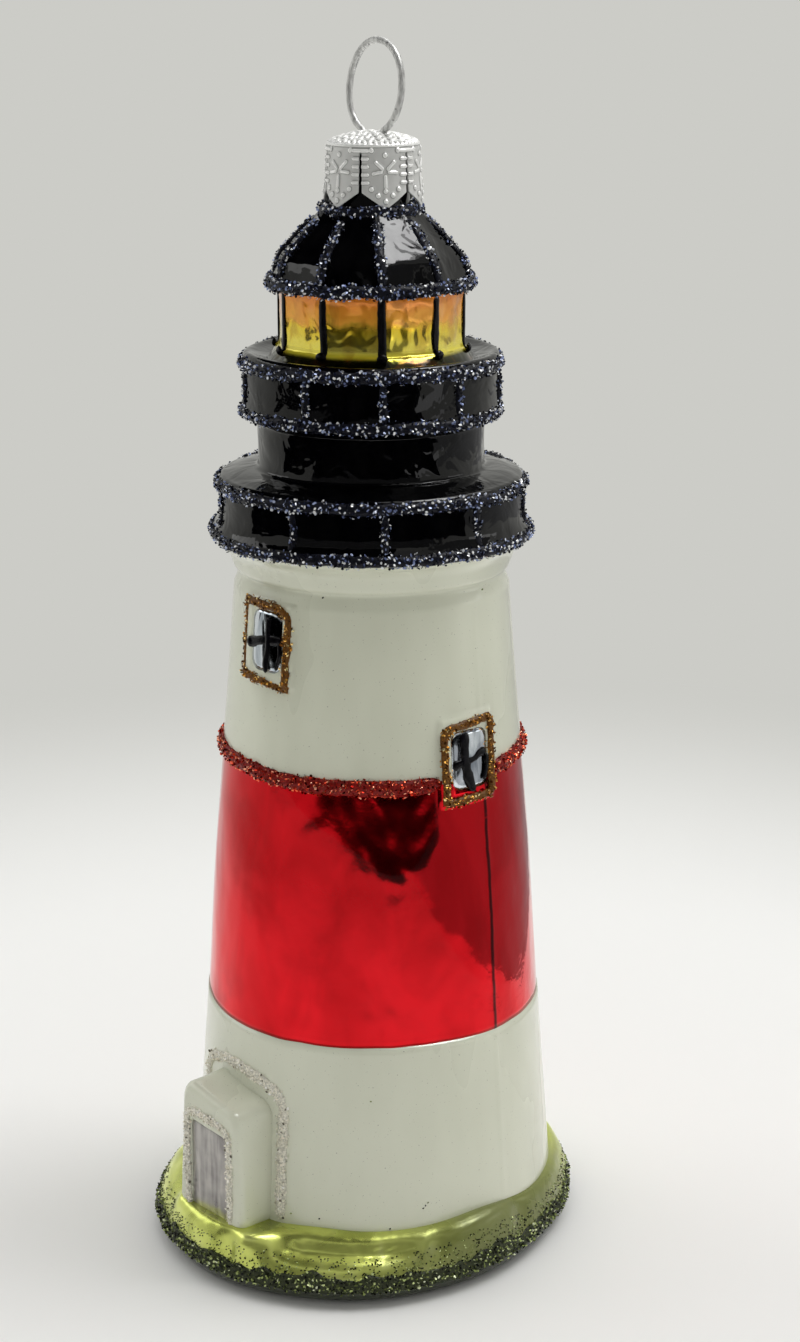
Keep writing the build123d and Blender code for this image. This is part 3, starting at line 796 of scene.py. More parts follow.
def settle(piece, tree, values):
    """Runs a Geometry Nodes tree on a piece and keeps the plain mesh."""
    modifier = piece.modifiers.new(tree.name, "NODES")
    modifier.node_group = tree
    for item in tree.interface.items_tree:
        if item.name in values:
            modifier[item.identifier] = values[item.name]
    ready = piece.evaluated_get(bpy.context.evaluated_depsgraph_get())
    mesh = bpy.data.meshes.new_from_object(ready)
    plain = piece.data
    piece.modifiers.remove(modifier)
    piece.data = mesh
    bpy.data.meshes.remove(plain)
    mesh.name = piece.name
    return piece


def set_values(piece, name, values):
    """Stores one number per point of a piece."""
    attribute = piece.data.attributes.new(name, "FLOAT", "POINT")
    attribute.data.foreach_set("value", values)


# ---- sizes and colours that a user would change ----

class LighthouseSizes(bpy.types.PropertyGroup):
    """Hand-made details that don't change the ornament's own size."""

    flake: bpy.props.FloatProperty(
        name="Flake", description="Width of a glitter flake",
        default=0.45 * MM, min=0, unit="LENGTH", precision=5)
    flakes: bpy.props.FloatProperty(
        name="Flakes", description="Glitter flakes per square millimetre", default=6.8, min=0)
    lacquer: bpy.props.FloatProperty(
        name="Lacquer", description="How far the white stands over the red",
        default=0.12 * MM, min=0, unit="LENGTH", precision=5)
    glue: bpy.props.FloatProperty(
        name="Glue", description="Width of a line of glitter glue",
        default=1.55 * MM, min=0, unit="LENGTH", precision=5)
    bar: bpy.props.FloatProperty(
        name="Bar", description="Width of a painted bar of the lantern",
        default=1.1 * MM, min=0, unit="LENGTH", precision=5)
    emboss: bpy.props.FloatProperty(
        name="Emboss", description="Depth of the cap's stamping",
        default=0.28 * MM, min=0, unit="LENGTH", precision=5)


def colour_property(name, description, default):
    return bpy.props.FloatVectorProperty(
        name=name, description=description, default=default, subtype="COLOR", size=3, min=0, max=1)


class LighthouseColours(bpy.types.PropertyGroup):
    """Colours of the ornament's finishes."""

    lacquer: colour_property("White", "White lacquer of the tower", (0.725, 0.74, 0.605))
    lacquer_shade: colour_property("White, shaded", "Cloudier white", (0.635, 0.65, 0.52))
    red: colour_property("Red", "Red lacquer", (0.8, 0.009, 0.017))
    red_deep: colour_property("Deep red", "Thicker red lacquer", (0.6, 0.005, 0.01))
    black: colour_property("Black", "Black enamel", (0.0006, 0.0006, 0.001))
    amber: colour_property("Amber", "Upper part of the lantern's panes", (1.0, 0.46, 0.05))
    amber_low: colour_property("Amber, low", "Lower part of the lantern's panes", (1.0, 0.86, 0.14))
    moss: colour_property("Moss", "Yellow-green lacquer of the mound", (0.75, 0.82, 0.2))
    moss_deep: colour_property("Moss, deep", "Thicker green lacquer", (0.45, 0.5, 0.1))
    silver: colour_property("Silver", "Silvered window panes", (0.82, 0.87, 0.93))
    door: colour_property("Door", "Silvered door panel", (0.5, 0.475, 0.45))
    paint: colour_property("Paint", "Painted bars", (0.006, 0.005, 0.008))
    metal: colour_property("Cap", "Stamped cap", (1.0, 1.0, 0.98))
    # painted shade on the flat sheet between the stamped marks
    metal_hollow: colour_property("Cap hollows", "Hollows of the stamping", (0.66, 0.66, 0.645))
    wire: colour_property("Wire", "Wire loop", (0.85, 0.85, 0.83))


# ---- the tower ----

def white_edge(azimuth):
    """Height where the upper white meets the red."""
    away = abs(angle_between(azimuth, SEEN))
    return BAND_TOP - 0.2 + 0.8 * step(away, 15, 85) + 0.15 * wander(azimuth, 6, 11)


def red_edge(azimuth):
    """Height of the wavy line where the red ends in the lower white."""
    return (BAND_FOOT + 1.0 * bump(angle_between(azimuth, -45), 25)
            + 0.3 * wander(azimuth, 9, 12) + 0.12 * wander(azimuth, 3, 13))


def upper_white(finish):
    """The white above the red, with the cove that flares out under the lower gallery."""
    top, rows = TOWER_TOP - 0.9, 58
    cove = steps_from(
        TOWER_TOP_R, TOWER_TOP, (0.08, -0.9), (-0.25, -0.1), (-0.55, 0.6), (-0.55, 1.1),
        (0, 1.6), (0.35, 2.5), (0.75, 3.6), (1.5, 4.6),
    ) + steps_from(LOW_FOOT_R, LOW_FOOT, (-0.5, -0.9), (-0.1, 0.2))
    outside = [(0, BAND_TOP + (top - BAND_TOP) * i / rows) for i in range(rows + 1)]
    outside += smooth_line(cove, 3)[1:]
    inside = [(LOW_FOOT_R - 1.2, LOW_FOOT), (TOWER_TOP_R - 1.2, TOWER_TOP), (19.2, BAND_TOP + 1)]

    def shape(azimuth, radius, z, row):
        if row <= rows:
            edge = white_edge(azimuth)
            z = edge + (z - BAND_TOP) / (top - BAND_TOP) * (top - edge)
            radius = tower_skin(azimuth, z)
        elif row < len(outside):
            radius += unevenness(azimuth, z)
        return around(azimuth, radius, z)

    return turned("upper_tower", outside + inside, finish, shape)


def lower_white(finish):
    """The white between the mound and the red."""
    foot, rows = MOUND_TOP - 2.5, 26
    outside = [(0, foot + (BAND_FOOT - foot) * i / rows) for i in range(rows + 1)]
    inside = [(21.8, BAND_FOOT - 0.5), (23.4, foot)]

    def shape(azimuth, radius, z, row):
        if row <= rows:
            z = foot + (z - foot) / (BAND_FOOT - foot) * (red_edge(azimuth) - foot)
            radius = tower_skin(azimuth, z)
        return around(azimuth, radius, z)

    return turned("lower_tower", outside + inside, finish, shape)


def red_band(finish, lacquer):
    """The red, which runs under the edges of both whites and lies deeper by their lacquer."""
    overlap = 0.6
    levels = [BAND_FOOT - 0.7 + 1.4 * i for i in range(21)]
    levels += [levels[-1] + (BAND_TOP + overlap - levels[-1]) * i / 16 for i in range(1, 17)]
    inside = [(19.0, BAND_TOP), (21.6, BAND_FOOT)]

    def shape(azimuth, radius, z, row):
        if row < len(levels):
            low, high = red_edge(azimuth) - overlap, white_edge(azimuth) + overlap
            z = low + (z - levels[0]) / (levels[-1] - levels[0]) * (high - low)
            radius = tower_skin(azimuth, z) - lacquer
        return around(azimuth, radius, z)

    return turned("red_band", [(0, z) for z in levels] + inside, finish, shape)


class LIGHTHOUSE_OT_tower(bpy.types.Operator):
    """White and red lacquered tower, with its moulded window frames and its cove"""

    bl_idname = "lighthouse.tower"
    bl_label = "Tower"

    def execute(self, context):
        colours = context.scene.lighthouse_colours
        white = coated(pearl_lacquer, colours)
        finish_piece(upper_white(white), "white_lacquer", "glass_body")
        finish_piece(lower_white(white), "white_lacquer", "glass_body")
        red = red_band(coated(red_lacquer, colours), context.scene.lighthouse_sizes.lacquer / MM)
        finish_piece(red, "red_mirror", "glass_body")
        return {"FINISHED"}


# ---- the black galleries, drum and roof ----

class LIGHTHOUSE_OT_galleries(bpy.types.Operator):
    """Both galleries and the drum between them, in glossy black"""

    bl_idname = "lighthouse.galleries"
    bl_label = "Galleries"

    def execute(self, context):
        colours = context.scene.lighthouse_colours
        middle = (LOW_FOOT + LOW_RIM) / 2
        stations = (
            *steps_from(LOW_FOOT_R, LOW_FOOT, (-0.3, -0.3), (0.05, 0.2), (0, 0.8)),
            *steps_from(LOW_R, LOW_FOOT, (0.45, 1.5), (0.12, 2.4)),
            *steps_from(LOW_R, middle, (0, 0), (0, 1.6)),
            *steps_from(LOW_R, LOW_RIM, (0, -1.2), (-0.1, -0.4), (-0.5, 0.05), (-1.1, 0.2),
                        (-2.1, 0.5), (-3.2, 0.75)),
            *steps_from(DRUM_R, LOW_RIM, (1.0, 0.9), (0.4, 1.0), (0.1, 1.3), (0, 2.0),
                        (-0.05, 4.0)),
            *steps_from(DRUM_R, HIGH_FOOT, (0, -1.6), (0.15, -0.8), (0.6, -0.4)),
            *steps_from(HIGH_R, HIGH_FOOT, (-0.4, -0.15), (0, 0.3), (0.05, 1.2), (0, 2.5)),
            *steps_from(HIGH_R, HIGH_RIM, (0, -2.5), (0, -1.2), (-0.05, -0.5), (-0.35, -0.1),
                        (-0.9, -0.05), (-1.8, -0.4)),
            *steps_from(LANTERN_R, HIGH_RIM, (1.6, -0.7), (1.0, -0.85), (0.2, -0.9)),
        )
        outside = smooth_line(stations, 3)
        outline = outside + [(LANTERN_R - 1, HIGH_RIM - 1.8), (HIGH_R - 1.5, HIGH_FOOT + 1),
                             (DRUM_R - 1.2, HIGH_FOOT - 1), (DRUM_R - 1.2, LOW_RIM),
                             (LOW_R - 1.5, LOW_RIM - 1.2), (LOW_FOOT_R - 1.5, LOW_FOOT + 0.4)]

        def worn(azimuth, radius, z, row):
            if row < len(outside):
                spot = around(azimuth, radius, z)
                radius += 0.09 * ripple(spot, 8, 21) + 0.03 * ripple(spot, 2.5, 22)
                z += 0.12 * ripple(spot, 10, 23)
            return around(azimuth, radius, z)

        black = coated(brushed_black, colours)
        galleries = turned("black_galleries", outline, black, worn, 300)
        finish_piece(galleries, "black_enamel", "glass_body")
        return {"FINISHED"}


def faceted(azimuth, radius, roundness, dish=0.0):
    """Radius at an azimuth of a form with a flat side per pane; roundness 1 makes it a circle."""
    across = math.radians((azimuth + PANE / 2) % PANE - PANE / 2)
    flat = radius * math.cos(math.pi / SIDES) / math.cos(across)
    flat -= dish * math.cos(across * SIDES / 2) ** 2
    corner = abs(across) / math.radians(PANE / 2)
    flat -= 0.12 * step(corner, 0.85, 1.0)
    return flat + (radius * 0.985 - flat) * roundness


class LIGHTHOUSE_OT_roof(bpy.types.Operator):
    """Ten-sided roof with the neck of the glass on top"""

    bl_idname = "lighthouse.roof"
    bl_label = "Roof"

    def execute(self, context):
        colours = context.scene.lighthouse_colours
        neck_top = CAP_TOP - 3.2
        stations = (
            *steps_from(EAVE_R, EAVE, (-0.8, -0.55), (-0.15, -0.35), (0.05, 0.1), (-0.2, 0.9),
                        (-0.6, 2.2), (-1.15, 3.5), (-2.5, 5.0), (-4.2, 6.8)),
            *steps_from(ROOF_TOP_R, ROOF_TOP, (1.1, -1.1), (0.1, -0.1)),
            *steps_from(NECK_R, ROOF_TOP, (0.3, 0.15), (0, 1.0)),
            (NECK_R, neck_top),
        )
        outside = smooth_line(stations, 4)
        inside = NECK_R - NECK_WALL
        outline = outside + [(inside, neck_top), (inside, ROOF_TOP), (EAVE_R - 2.0, EAVE)]

        def facet(azimuth, radius, z, row):
            if row < len(outside):
                rise = step(z, ROOF_TOP - 0.8, ROOF_TOP + 0.3)
                radius = faceted(azimuth, radius, rise, 0.12 * (1 - rise))
                spot = around(azimuth, radius, z)
                radius += (0.1 * ripple(spot, 5, 31) + 0.04 * ripple(spot, 1.8, 32)) * (1 - rise)
            return around(azimuth, radius, z)

        roof = turned("black_roof", outline, coated(brushed_black, colours), facet)
        finish_piece(roof, "black_enamel", "glass_body")
        return {"FINISHED"}


# ---- the lantern ----

class LIGHTHOUSE_OT_lantern(bpy.types.Operator):
    """Ten amber panes and the painted bars between them"""

    bl_idname = "lighthouse.lantern"
    bl_label = "Lantern"

    def execute(self, context):
        sizes = context.scene.lighthouse_sizes
        colours = context.scene.lighthouse_colours
        foot = LANTERN_FOOT
        stations = steps_from(
            LANTERN_R, foot, (1.7, -1.5), (1.25, -1.1), (0.8, -0.5), (0.45, 0.1), (0.1, 0.45),
            (-0.05, 1.1), (-0.1, 2.5), (-0.1, 4.5), (-0.05, 6.5), (0.1, 7.6), (0.4, 8.3),
        )
        outside = smooth_line(stations, 5)
        outline = outside + [(LANTERN_R - 1, foot + 8.3), (LANTERN_R - 1, foot - 1.5)]

        def pane(azimuth, radius, z, row):
            if row < len(outside):
                roundness = 1 - step(z, foot - 0.6, foot + 0.5)
                radius = faceted(azimuth, radius, roundness, -0.12 * (1 - roundness))
                spot = around(azimuth, radius, z)
                unrest = 0.09 * ripple(spot, 3.2, 41) + 0.04 * ripple(spot, 1.3, 42)
                radius += unrest * (1 - roundness)
            return around(azimuth, radius, z)

        panes = turned("lantern_panes", outline, coated(amber_lacquer, colours), pane)
        finish_piece(panes, "amber_mirror", "glass_body")

        shells = []
        for corner in range(SIDES):
            path, normals = [], []
            for i in range(24):
                z = foot - 0.35 + 8.3 * (i / 23)
                turn = PANE / 2 + PANE * corner + 0.9 * ripple((corner * 5, 0, z), 4, 43)
                flare = 0.75 * (1 - step(z, foot - 0.5, foot + 0.5))
                path.append(around(turn, LANTERN_R - 0.12 + flare, z))
                normals.append(outward(turn))
            width = sizes.bar / MM * (0.95 + 0.25 * ripple((corner * 9, 3, 0), 5, 44))
            shells.append(stroke(path, normals, width, 0.2, 45 + corner))
            blob = [path[0] + Vector((0, 0, 0.25 * k)) for k in range(6)]
            shells.append(stroke(blob, normals[:6], 1.5 * width, 0.33, 60 + corner, blunt=2.0))
        bars = joined("lantern_bars", shells, coated(brushed_paint, colours))
        finish_piece(bars, "black_enamel", "lantern_mullions")
        return {"FINISHED"}


# ---- the mound ----

def rim_radius(azimuth):
    """Radius of the oval mound's widest line."""
    way = outward(azimuth)
    a = (way.x / RIM_X) ** 2 + (way.y / RIM_Y) ** 2
    b = -2 * way.y * RIM_MIDDLE / RIM_Y ** 2
    c = (RIM_MIDDLE / RIM_Y) ** 2 - 1
    oval = (-b + math.sqrt(b * b - 4 * a * c)) / (2 * a)
    flat = 0.8 * bump(angle_between(azimuth, 103), 30)
    flat += 1.6 * bump(angle_between(azimuth, -85), 30)
    return oval - flat - GLUE + 0.25 * wander(azimuth, 9, 51)


def mound_edge(azimuth):
    """Height where the green meets the white."""
    rise = 0.9 * bump(angle_between(azimuth, 82), 14) - 0.35 * bump(angle_between(azimuth, 18), 9)
    return MOUND_TOP + 0.1 + rise + 0.25 * wander(azimuth, 8, 52)


GROOVE = 40                    # azimuth of the long groove in the mound
LUMPS = (
    # azimuth and reach, share and depth of the way down, height
    (16, 5, 0.35, 0.3, 0.75), (9, 2.2, 0.6, 0.5, -0.8), (-2, 7, 0.5, 0.4, 0.5),
    (78, 12, 0.4, 0.35, 0.9), (97, 3.5, 0.5, 0.5, -0.6), (66, 3, 0.5, 0.25, -0.5),
    (GROOVE, 16, 0.85, 0.16, 0.45),
)


def lumps(azimuth, share):
    """Bumps and hollows between the tower and the rim."""
    near = angle_between(azimuth, GROOVE)
    height = -1.15 * bump(share - 0.42, 0.17) * step(near, -22, -12) * (1 - step(near, 12, 24))
    for middle, reach, level, depth, tall in LUMPS:
        height += tall * bump(angle_between(azimuth, middle), reach) * bump(share - level, depth)
    behind = step(abs(near), 75, 100)
    height += behind * 0.9 * ripple(around(azimuth, 27, 9 * share), 7, 53)
    return height * math.sin(math.pi * min(1, share)) ** 0.5


def on_mound(azimuth, share, lift=0.0):
    """Point on the mound: share 0 at the white, 1 at the rim, 2 at the flat bottom's edge."""
    start = FOOT_R + 0.05 + TAPER
    porch = 1 - step(abs(angle_between(azimuth, DOOR)), 13, 21)
    start += porch * (PORCH_FRONT + 0.4 - FOOT_R)
    edge, rim = mound_edge(azimuth), rim_radius(azimuth)
    if share <= 1:
        turn = share * math.pi / 2
        radius = start + (rim - start) * math.sin(turn) ** 0.9
        z = RIM_Z + (edge - RIM_Z) * math.cos(turn) ** 0.95
        way = Vector((math.sin(turn), math.cos(turn) * 0.8 + 0.1))
        offset = lift + lumps(azimuth, share)
    else:
        turn = (share - 1) * math.pi / 2
        radius = rim - UNDERCUT * (1 - math.cos(turn))
        z = RIM_Z * (1 - math.sin(turn))
        way = Vector((math.cos(turn), -math.sin(turn)))
        offset = lift * math.cos(turn)
    return around(azimuth, radius + way.x * offset, max(0.0, z + way.y * offset))


class LIGHTHOUSE_OT_mound(bpy.types.Operator):
    """Lumpy green mound, closed by its flat bottom"""

    bl_idname = "lighthouse.mound"
    bl_label = "Mound"

    def execute(self, context):
        columns, rows = 360, 46
        points = [Vector((0, 0, 0))]
        points += [around(j, 14, 0.0) for j in range(columns)]
        for i in range(rows):
            share = 2 - 2 * i / (rows - 1)
            points += [on_mound(j, share) for j in range(columns)]
        points += [around(j, FOOT_R - 1.6, mound_edge(j) - 0.2) for j in range(columns)]
        points.append(Vector((0, 0, MOUND_TOP - 2)))
        faces = [tuple(1 + k for k in face) for face in grid_faces(rows + 2, columns, False, True)]
        faces += fan(1, columns, 0, False)
        faces += fan(1 + (rows + 1) * columns, columns, len(points) - 1)
        finish = coated(moss_lacquer, context.scene.lighthouse_colours)
        mound = mesh_piece("green_mound", points, faces, finish)
        finish_piece(mound, "green_mirror", "glass_body")
        return {"FINISHED"}


# ---- the porch ----

def porch_loop(y, inset, rise, count):
    """The porch's outline at a distance y in front of the axis, drawn in by an inset."""
    low = MOUND_TOP - 1.6
    height = PORCH_TOP - low
    points = []
    for p in rounded(13.6 - 2 * inset, height - 2 * inset, 2.2 - 0.6 * inset, count, 0.155):
        share = p.y / height + 0.5
        z = low + share * height + (rise - 0.19 * p.x) * share ** 3
        x = p.x - 0.8 + 0.35 * share + 0.07 * ripple((p.x, y, z), 5, 71)
        points.append(Vector((x, -y + 0.06 * ripple((x, y, z), 4, 72), z)))
    return points


def door_loop(y, grow, count):
    """The door's outline; grow widens it."""
    points = []
    width, height = DOOR_WIDTH + 2 * grow, DOOR_HEIGHT + 2 * grow
    for p in rounded(width, height, 1.0 + grow / 2, count, 0.03):
        tilt = -0.08 * p.x * (p.y / 13 + 0.5)
        points.append(Vector((p.x + DOOR_X, -y, p.y + DOOR_Z + tilt)))
    return points


def sealed(loops, centre_back, centre_front):
    """Points and faces of a closed form through loops that run from its back to its front."""
    count = len(loops[0])
    points = [p for loop in loops for p in loop] + [centre_back, centre_front]
    back, front = len(points) - 2, len(points) - 1
    faces = [tuple(reversed(face)) for face in grid_faces(len(loops), count, False, True)]
    faces += fan(0, count, back) + fan((len(loops) - 1) * count, count, front, False)
    return points, faces


class LIGHTHOUSE_OT_porch(bpy.types.Operator):
    """White porch with the silvered door in it"""

    bl_idname = "lighthouse.porch"
    bl_label = "Porch"

    def execute(self, context):
        colours = context.scene.lighthouse_colours
        count = 120
        edge, back, recess = 1.2, 18, 0.95
        stations = ((back, 0.2), (23, 0.2), (25, 0.1), (27, 0))
        loops = [porch_loop(y, 0, rise, count) for y, rise in stations]
        for k in range(8):
            turn = math.radians(90 * k / 7)
            y = PORCH_FRONT - edge + edge * math.sin(turn)
            loops.append(porch_loop(y, edge * (1 - math.cos(turn)), 0, count))
        for sunk, grow in ((0, 0.5), (0, 0.2), (0.12, 0), (0.9, -0.2), (recess, -1.5)):
            loops.append(door_loop(PORCH_FRONT - sunk, grow, count))
        front = Vector((DOOR_X, recess - PORCH_FRONT, DOOR_Z))
        points, faces = sealed(loops, Vector((0, -back, 14)), front)
        porch = mesh_piece("porch", points, faces, coated(pearl_lacquer, colours))
        finish_piece(porch, "white_lacquer", "glass_body")

        back, rim, dome, rings = PORCH_FRONT - 0.7, PORCH_FRONT - 0.4, 0.2, 5
        loops = [door_loop(back, -0.1, count), door_loop(rim, -0.1, count)]
        for k in range(1, rings + 1):
            loops.append(door_loop(rim + dome * (1 - (1 - k / rings) ** 2), -0.1 - 0.3 * k, count))
        for loop in loops[1:-1]:
            for p in loop:
                p.y -= 0.05 * ripple((p.x * 2.2, 0, p.z * 0.35), 1.5, 73)
        front = Vector((DOOR_X, -rim - dome, DOOR_Z))
        points, faces = sealed(loops, Vector((DOOR_X, -back, DOOR_Z)), front)
        door = mesh_piece("door_panel", points, faces, coated(door_silver, colours))
        finish_piece(door, "silver_mirror", "glass_body")
        return {"FINISHED"}


# ---- the windows ----

BARS = (
    # strokes of a high window, then of a low one: points across and up, and a width
    (
        (((-3.6, -0.6), (-2.6, -0.5), (-0.5, 0.1), (1.5, 0.35), (3.0, 0.4)), 1.5),
        (((0.5, 3.4), (0.55, 1.5), (0.5, -1.2), (0.3, -3.0), (0.45, -4.1)), 1.05),
        (((2.6, 0.3), (2.75, -1.2), (2.5, -2.4), (2.15, -3.5)), 0.65),
    ),
    (
        (((-3.0, -0.7), (-1.6, -0.3), (0.2, 0.0), (1.4, 0.6), (2.6, 0.5)), 1.3),
        (((-0.9, 3.9), (-0.95, 1.5), (-0.9, -0.8), (-0.55, -2.6), (0.1, -4.3)), 1.5),
        (((2.5, 0.4), (2.45, -1.0), (2.2, -2.2), (1.8, -3.1)), 0.8),
    ),
)
BORDERS = (
    # corners of the glitter round a high window, then round a low one
    ((-4.5, 4.9), (-1.0, 4.75), (2.2, 4.6), (3.6, 3.6), (3.6, -0.5), (3.45, -6.0),
     (-0.5, -5.4), (-4.2, -5.0), (-4.75, -4.0), (-4.6, 0.5)),
    ((-3.1, 4.5), (0.6, 4.85), (3.4, 5.15), (3.9, 4.4), (3.7, 0.0), (3.55, -4.6),
     (3.0, -5.15), (-0.4, -5.25), (-4.0, -5.45), (-3.9, -1.0), (-4.0, 3.5)),
)


def drawn_on_tower(azimuth, level, line, shake, grain, seeds, depth, lift):
    """Points and normals of a line of (across, up) that is drawn on the glass by a shaky hand."""
    spots = []
    for x, y in line:
        across, up = (
            value + shake * ripple((x, y, depth), grain, seed) for value, seed in zip((x, y), seeds)
        )
        spots.append(beside(azimuth, level, across, up, lift))
    return zip(*spots)


class LIGHTHOUSE_OT_windows(bpy.types.Operator):
    """Silvered panes and the bars painted on them"""

    bl_idname = "lighthouse.windows"
    bl_label = "Windows"

    def execute(self, context):
        colours = context.scene.lighthouse_colours
        panes, bars = [], []
        for number, (_, azimuth, level, width, height) in enumerate(WINDOWS):
            outline = rounded(width + 0.7, height + 0.7, 1.3, 48)
            panes.append(patch_on_tower(azimuth, level, outline, 0.04, 0.42))
            for kind, (points, thick) in enumerate(BARS[number % 2]):
                path, normals = drawn_on_tower(
                    azimuth, level, smooth_line(points, 6), 0.1, 2, (90 + number, 94 + number),
                    0, 0.3 + 0.06 * kind)
                bars.append(stroke(path, normals, thick, 0.22, 100 + 7 * number + kind))
        glass = joined("window_panes", panes, coated(silvered_pane, colours))
        finish_piece(glass, "silver_mirror", "glass_body")
        paint = joined("window_bars", bars, coated(brushed_paint, colours))
        finish_piece(paint, "black_enamel", "glass_body")
        return {"FINISHED"}


# ---- the cap and its loop ----

def near_bar(x, y, bar, width):
    """1 on a stamped bar (x0, y0, x1, y1), falling to 0 beside it."""
    start, run = Vector(bar[:2]), Vector(bar[2:]) - Vector(bar[:2])
    spot = Vector((x, y)) - start
    share = min(1, max(0, spot.dot(run) / max(1e-6, run.length_squared)))
    return 1 - step((spot - run * share).length, 0.15 * width, 0.75 * width)


def stamping(across, down):
    """Height of the stamping on a petal, from its middle line and the cap's edge."""
    side = abs(across)
    rungs = [(2.25, low, 3.2, low) for low in (0.75, 1.75, 2.75, 3.75, 4.75)]
    spots = ((0, 1.3), (1.8, 5.55), (0.95, 6.35), (0, 7.1), (0, 5.8), (1.75, 0.7))
    leaves = ((0.5, 0, 1.55, 0.1), (-0.5, 0, -1.55, 0.2), (0.35, -0.4, 1.2, -1.25),
              (-0.35, -0.4, -1.2, -1.2), (0, 0.55, 0, 1.9))
    heights = [near_bar(side, down, bar, 0.42) for bar in rungs]
    heights += [near_bar(across, down - 3.4, bar, 0.42) for bar in leaves]
    heights += [near_bar(side, down, (x, y, x, y), 0.62) for x, y in spots]
    heights.append(near_bar(side, down, (0, 0.15, 3.2, 0.15), 0.3))
    return max(heights)


def rosette(radius, across):
    """Height of the stamping on the cap's top: rings of rings round its middle."""
    height = 0.0
    for circle, count, size in ((5.45, 24, 0.42), (4.25, 18, 0.45), (3.0, 12, 0.5), (1.7, 6, 0.55)):
        pitch = 2 * math.pi * circle / count
        along = (across / max(radius, 0.1) * circle / pitch + 0.5) % 1 - 0.5
        away = math.hypot(along * pitch, radius - circle)
        height = max(height, 1 - step(abs(away - size), 0.1, 0.28))
    return height


PETALS = 6
PETAL_HALF = 180 / PETALS      # half a petal's width, in degrees
POINT_AT = 6.0                 # where a petal's point begins, down from the cap's edge


def petal_width(down, length):
    """Half the width of a petal, in degrees, at a distance down from the cap's edge."""
    if down < 1.0:
        return PETAL_HALF
    wide = PETAL_HALF - 1.3 - 0.12 * down
    pointed = (down - POINT_AT) / (length - POINT_AT)
    return wide * max(0.04, 1 - pointed) if pointed > 0 else wide


def petal(emboss):
    """A sixth of the cap, from its middle to a petal's tip: points, faces and stamping."""
    edge_z = CAP_TIP + 7.8
    sag = CAP_TOP - edge_z - 0.5
    dome = [(r, CAP_TOP - sag * (r / 5.3) ** 2) for r in (0, 1, 2, 3, 4, 4.8, 5.3)]
    side = steps_from(CAP_R, edge_z, (-0.5, 0.2), (-0.25, -0.4), (-0.2, -1.5), (-0.08, -4))
    side += steps_from(CAP_R, CAP_TIP, (0.1, 1.2), (0.16, 0))
    per = 16
    line = smooth_line(dome + side, per)
    reach = [0.0]
    for a, b in zip(line, line[1:]):
        reach.append(reach[-1] + (b - a).length)
    edge_at = reach[per * len(dome)]
    rows, columns = 104, 45
    points, values = [], []
    spot = 0
    for i in range(rows):
        target = reach[-1] * i / (rows - 1)
        while spot + 2 < len(line) and reach[spot + 1] < target:
            spot += 1
        share = (target - reach[spot]) / (reach[spot + 1] - reach[spot])
        here = line[spot].lerp(line[spot + 1], min(1, share))
        ahead = (line[spot + 1] - line[spot]).normalized()
        down = target - edge_at
        wide = petal_width(down, reach[-1] - edge_at)
        for j in range(columns):
            azimuth = wide * (2 * j / (columns - 1) - 1)
            across = math.radians(azimuth) * here.x
            value = stamping(across, down) if down > 0 else rosette(here.x, across)
            grow = emboss * value
            bent = 0.12 * step(down, 3, 8) * (1 - (azimuth / PETAL_HALF) ** 2)
            points.append(around(azimuth, here.x - ahead.y * grow + bent, here.y + ahead.x * grow))
            values.append(value)
    faces = [tuple(reversed(face)) for face in grid_faces(rows, columns, False, False)]
    return points, faces, values


class LIGHTHOUSE_OT_cap(bpy.types.Operator):
    """Stamped crown of six petals"""

    bl_idname = "lighthouse.cap"
    bl_label = "Cap"

    def execute(self, context):
        points, faces, values = petal(context.scene.lighthouse_sizes.emboss / MM)
        finish = coated(stamped_metal, context.scene.lighthouse_colours)
        cap = mesh_piece("stamped_cap", points, faces, finish)
        set_values(cap, "relief", values)
        settle(cap, ring_tree(), {"Count": PETALS, "Finish": finish})
        mesh = bmesh.new()
        mesh.from_mesh(cap.data)
        bmesh.ops.remove_doubles(mesh, verts=mesh.verts, dist=0.012 * MM)
        bmesh.ops.rotate(mesh, verts=mesh.verts, matrix=Matrix.Rotation(math.radians(2), 3, "Z"))
        bmesh.ops.translate(mesh, verts=mesh.verts, vec=outward(LEAN) * 0.35 * MM)
        mesh.to_mesh(cap.data)
        mesh.free()
        sheet = cap.modifiers.new("sheet", "SOLIDIFY")
        sheet.thickness = 0.25 * MM
        sheet.offset = -1
        finish_piece(cap, "cap_metal", "cap_crown")
        return {"FINISHED"}


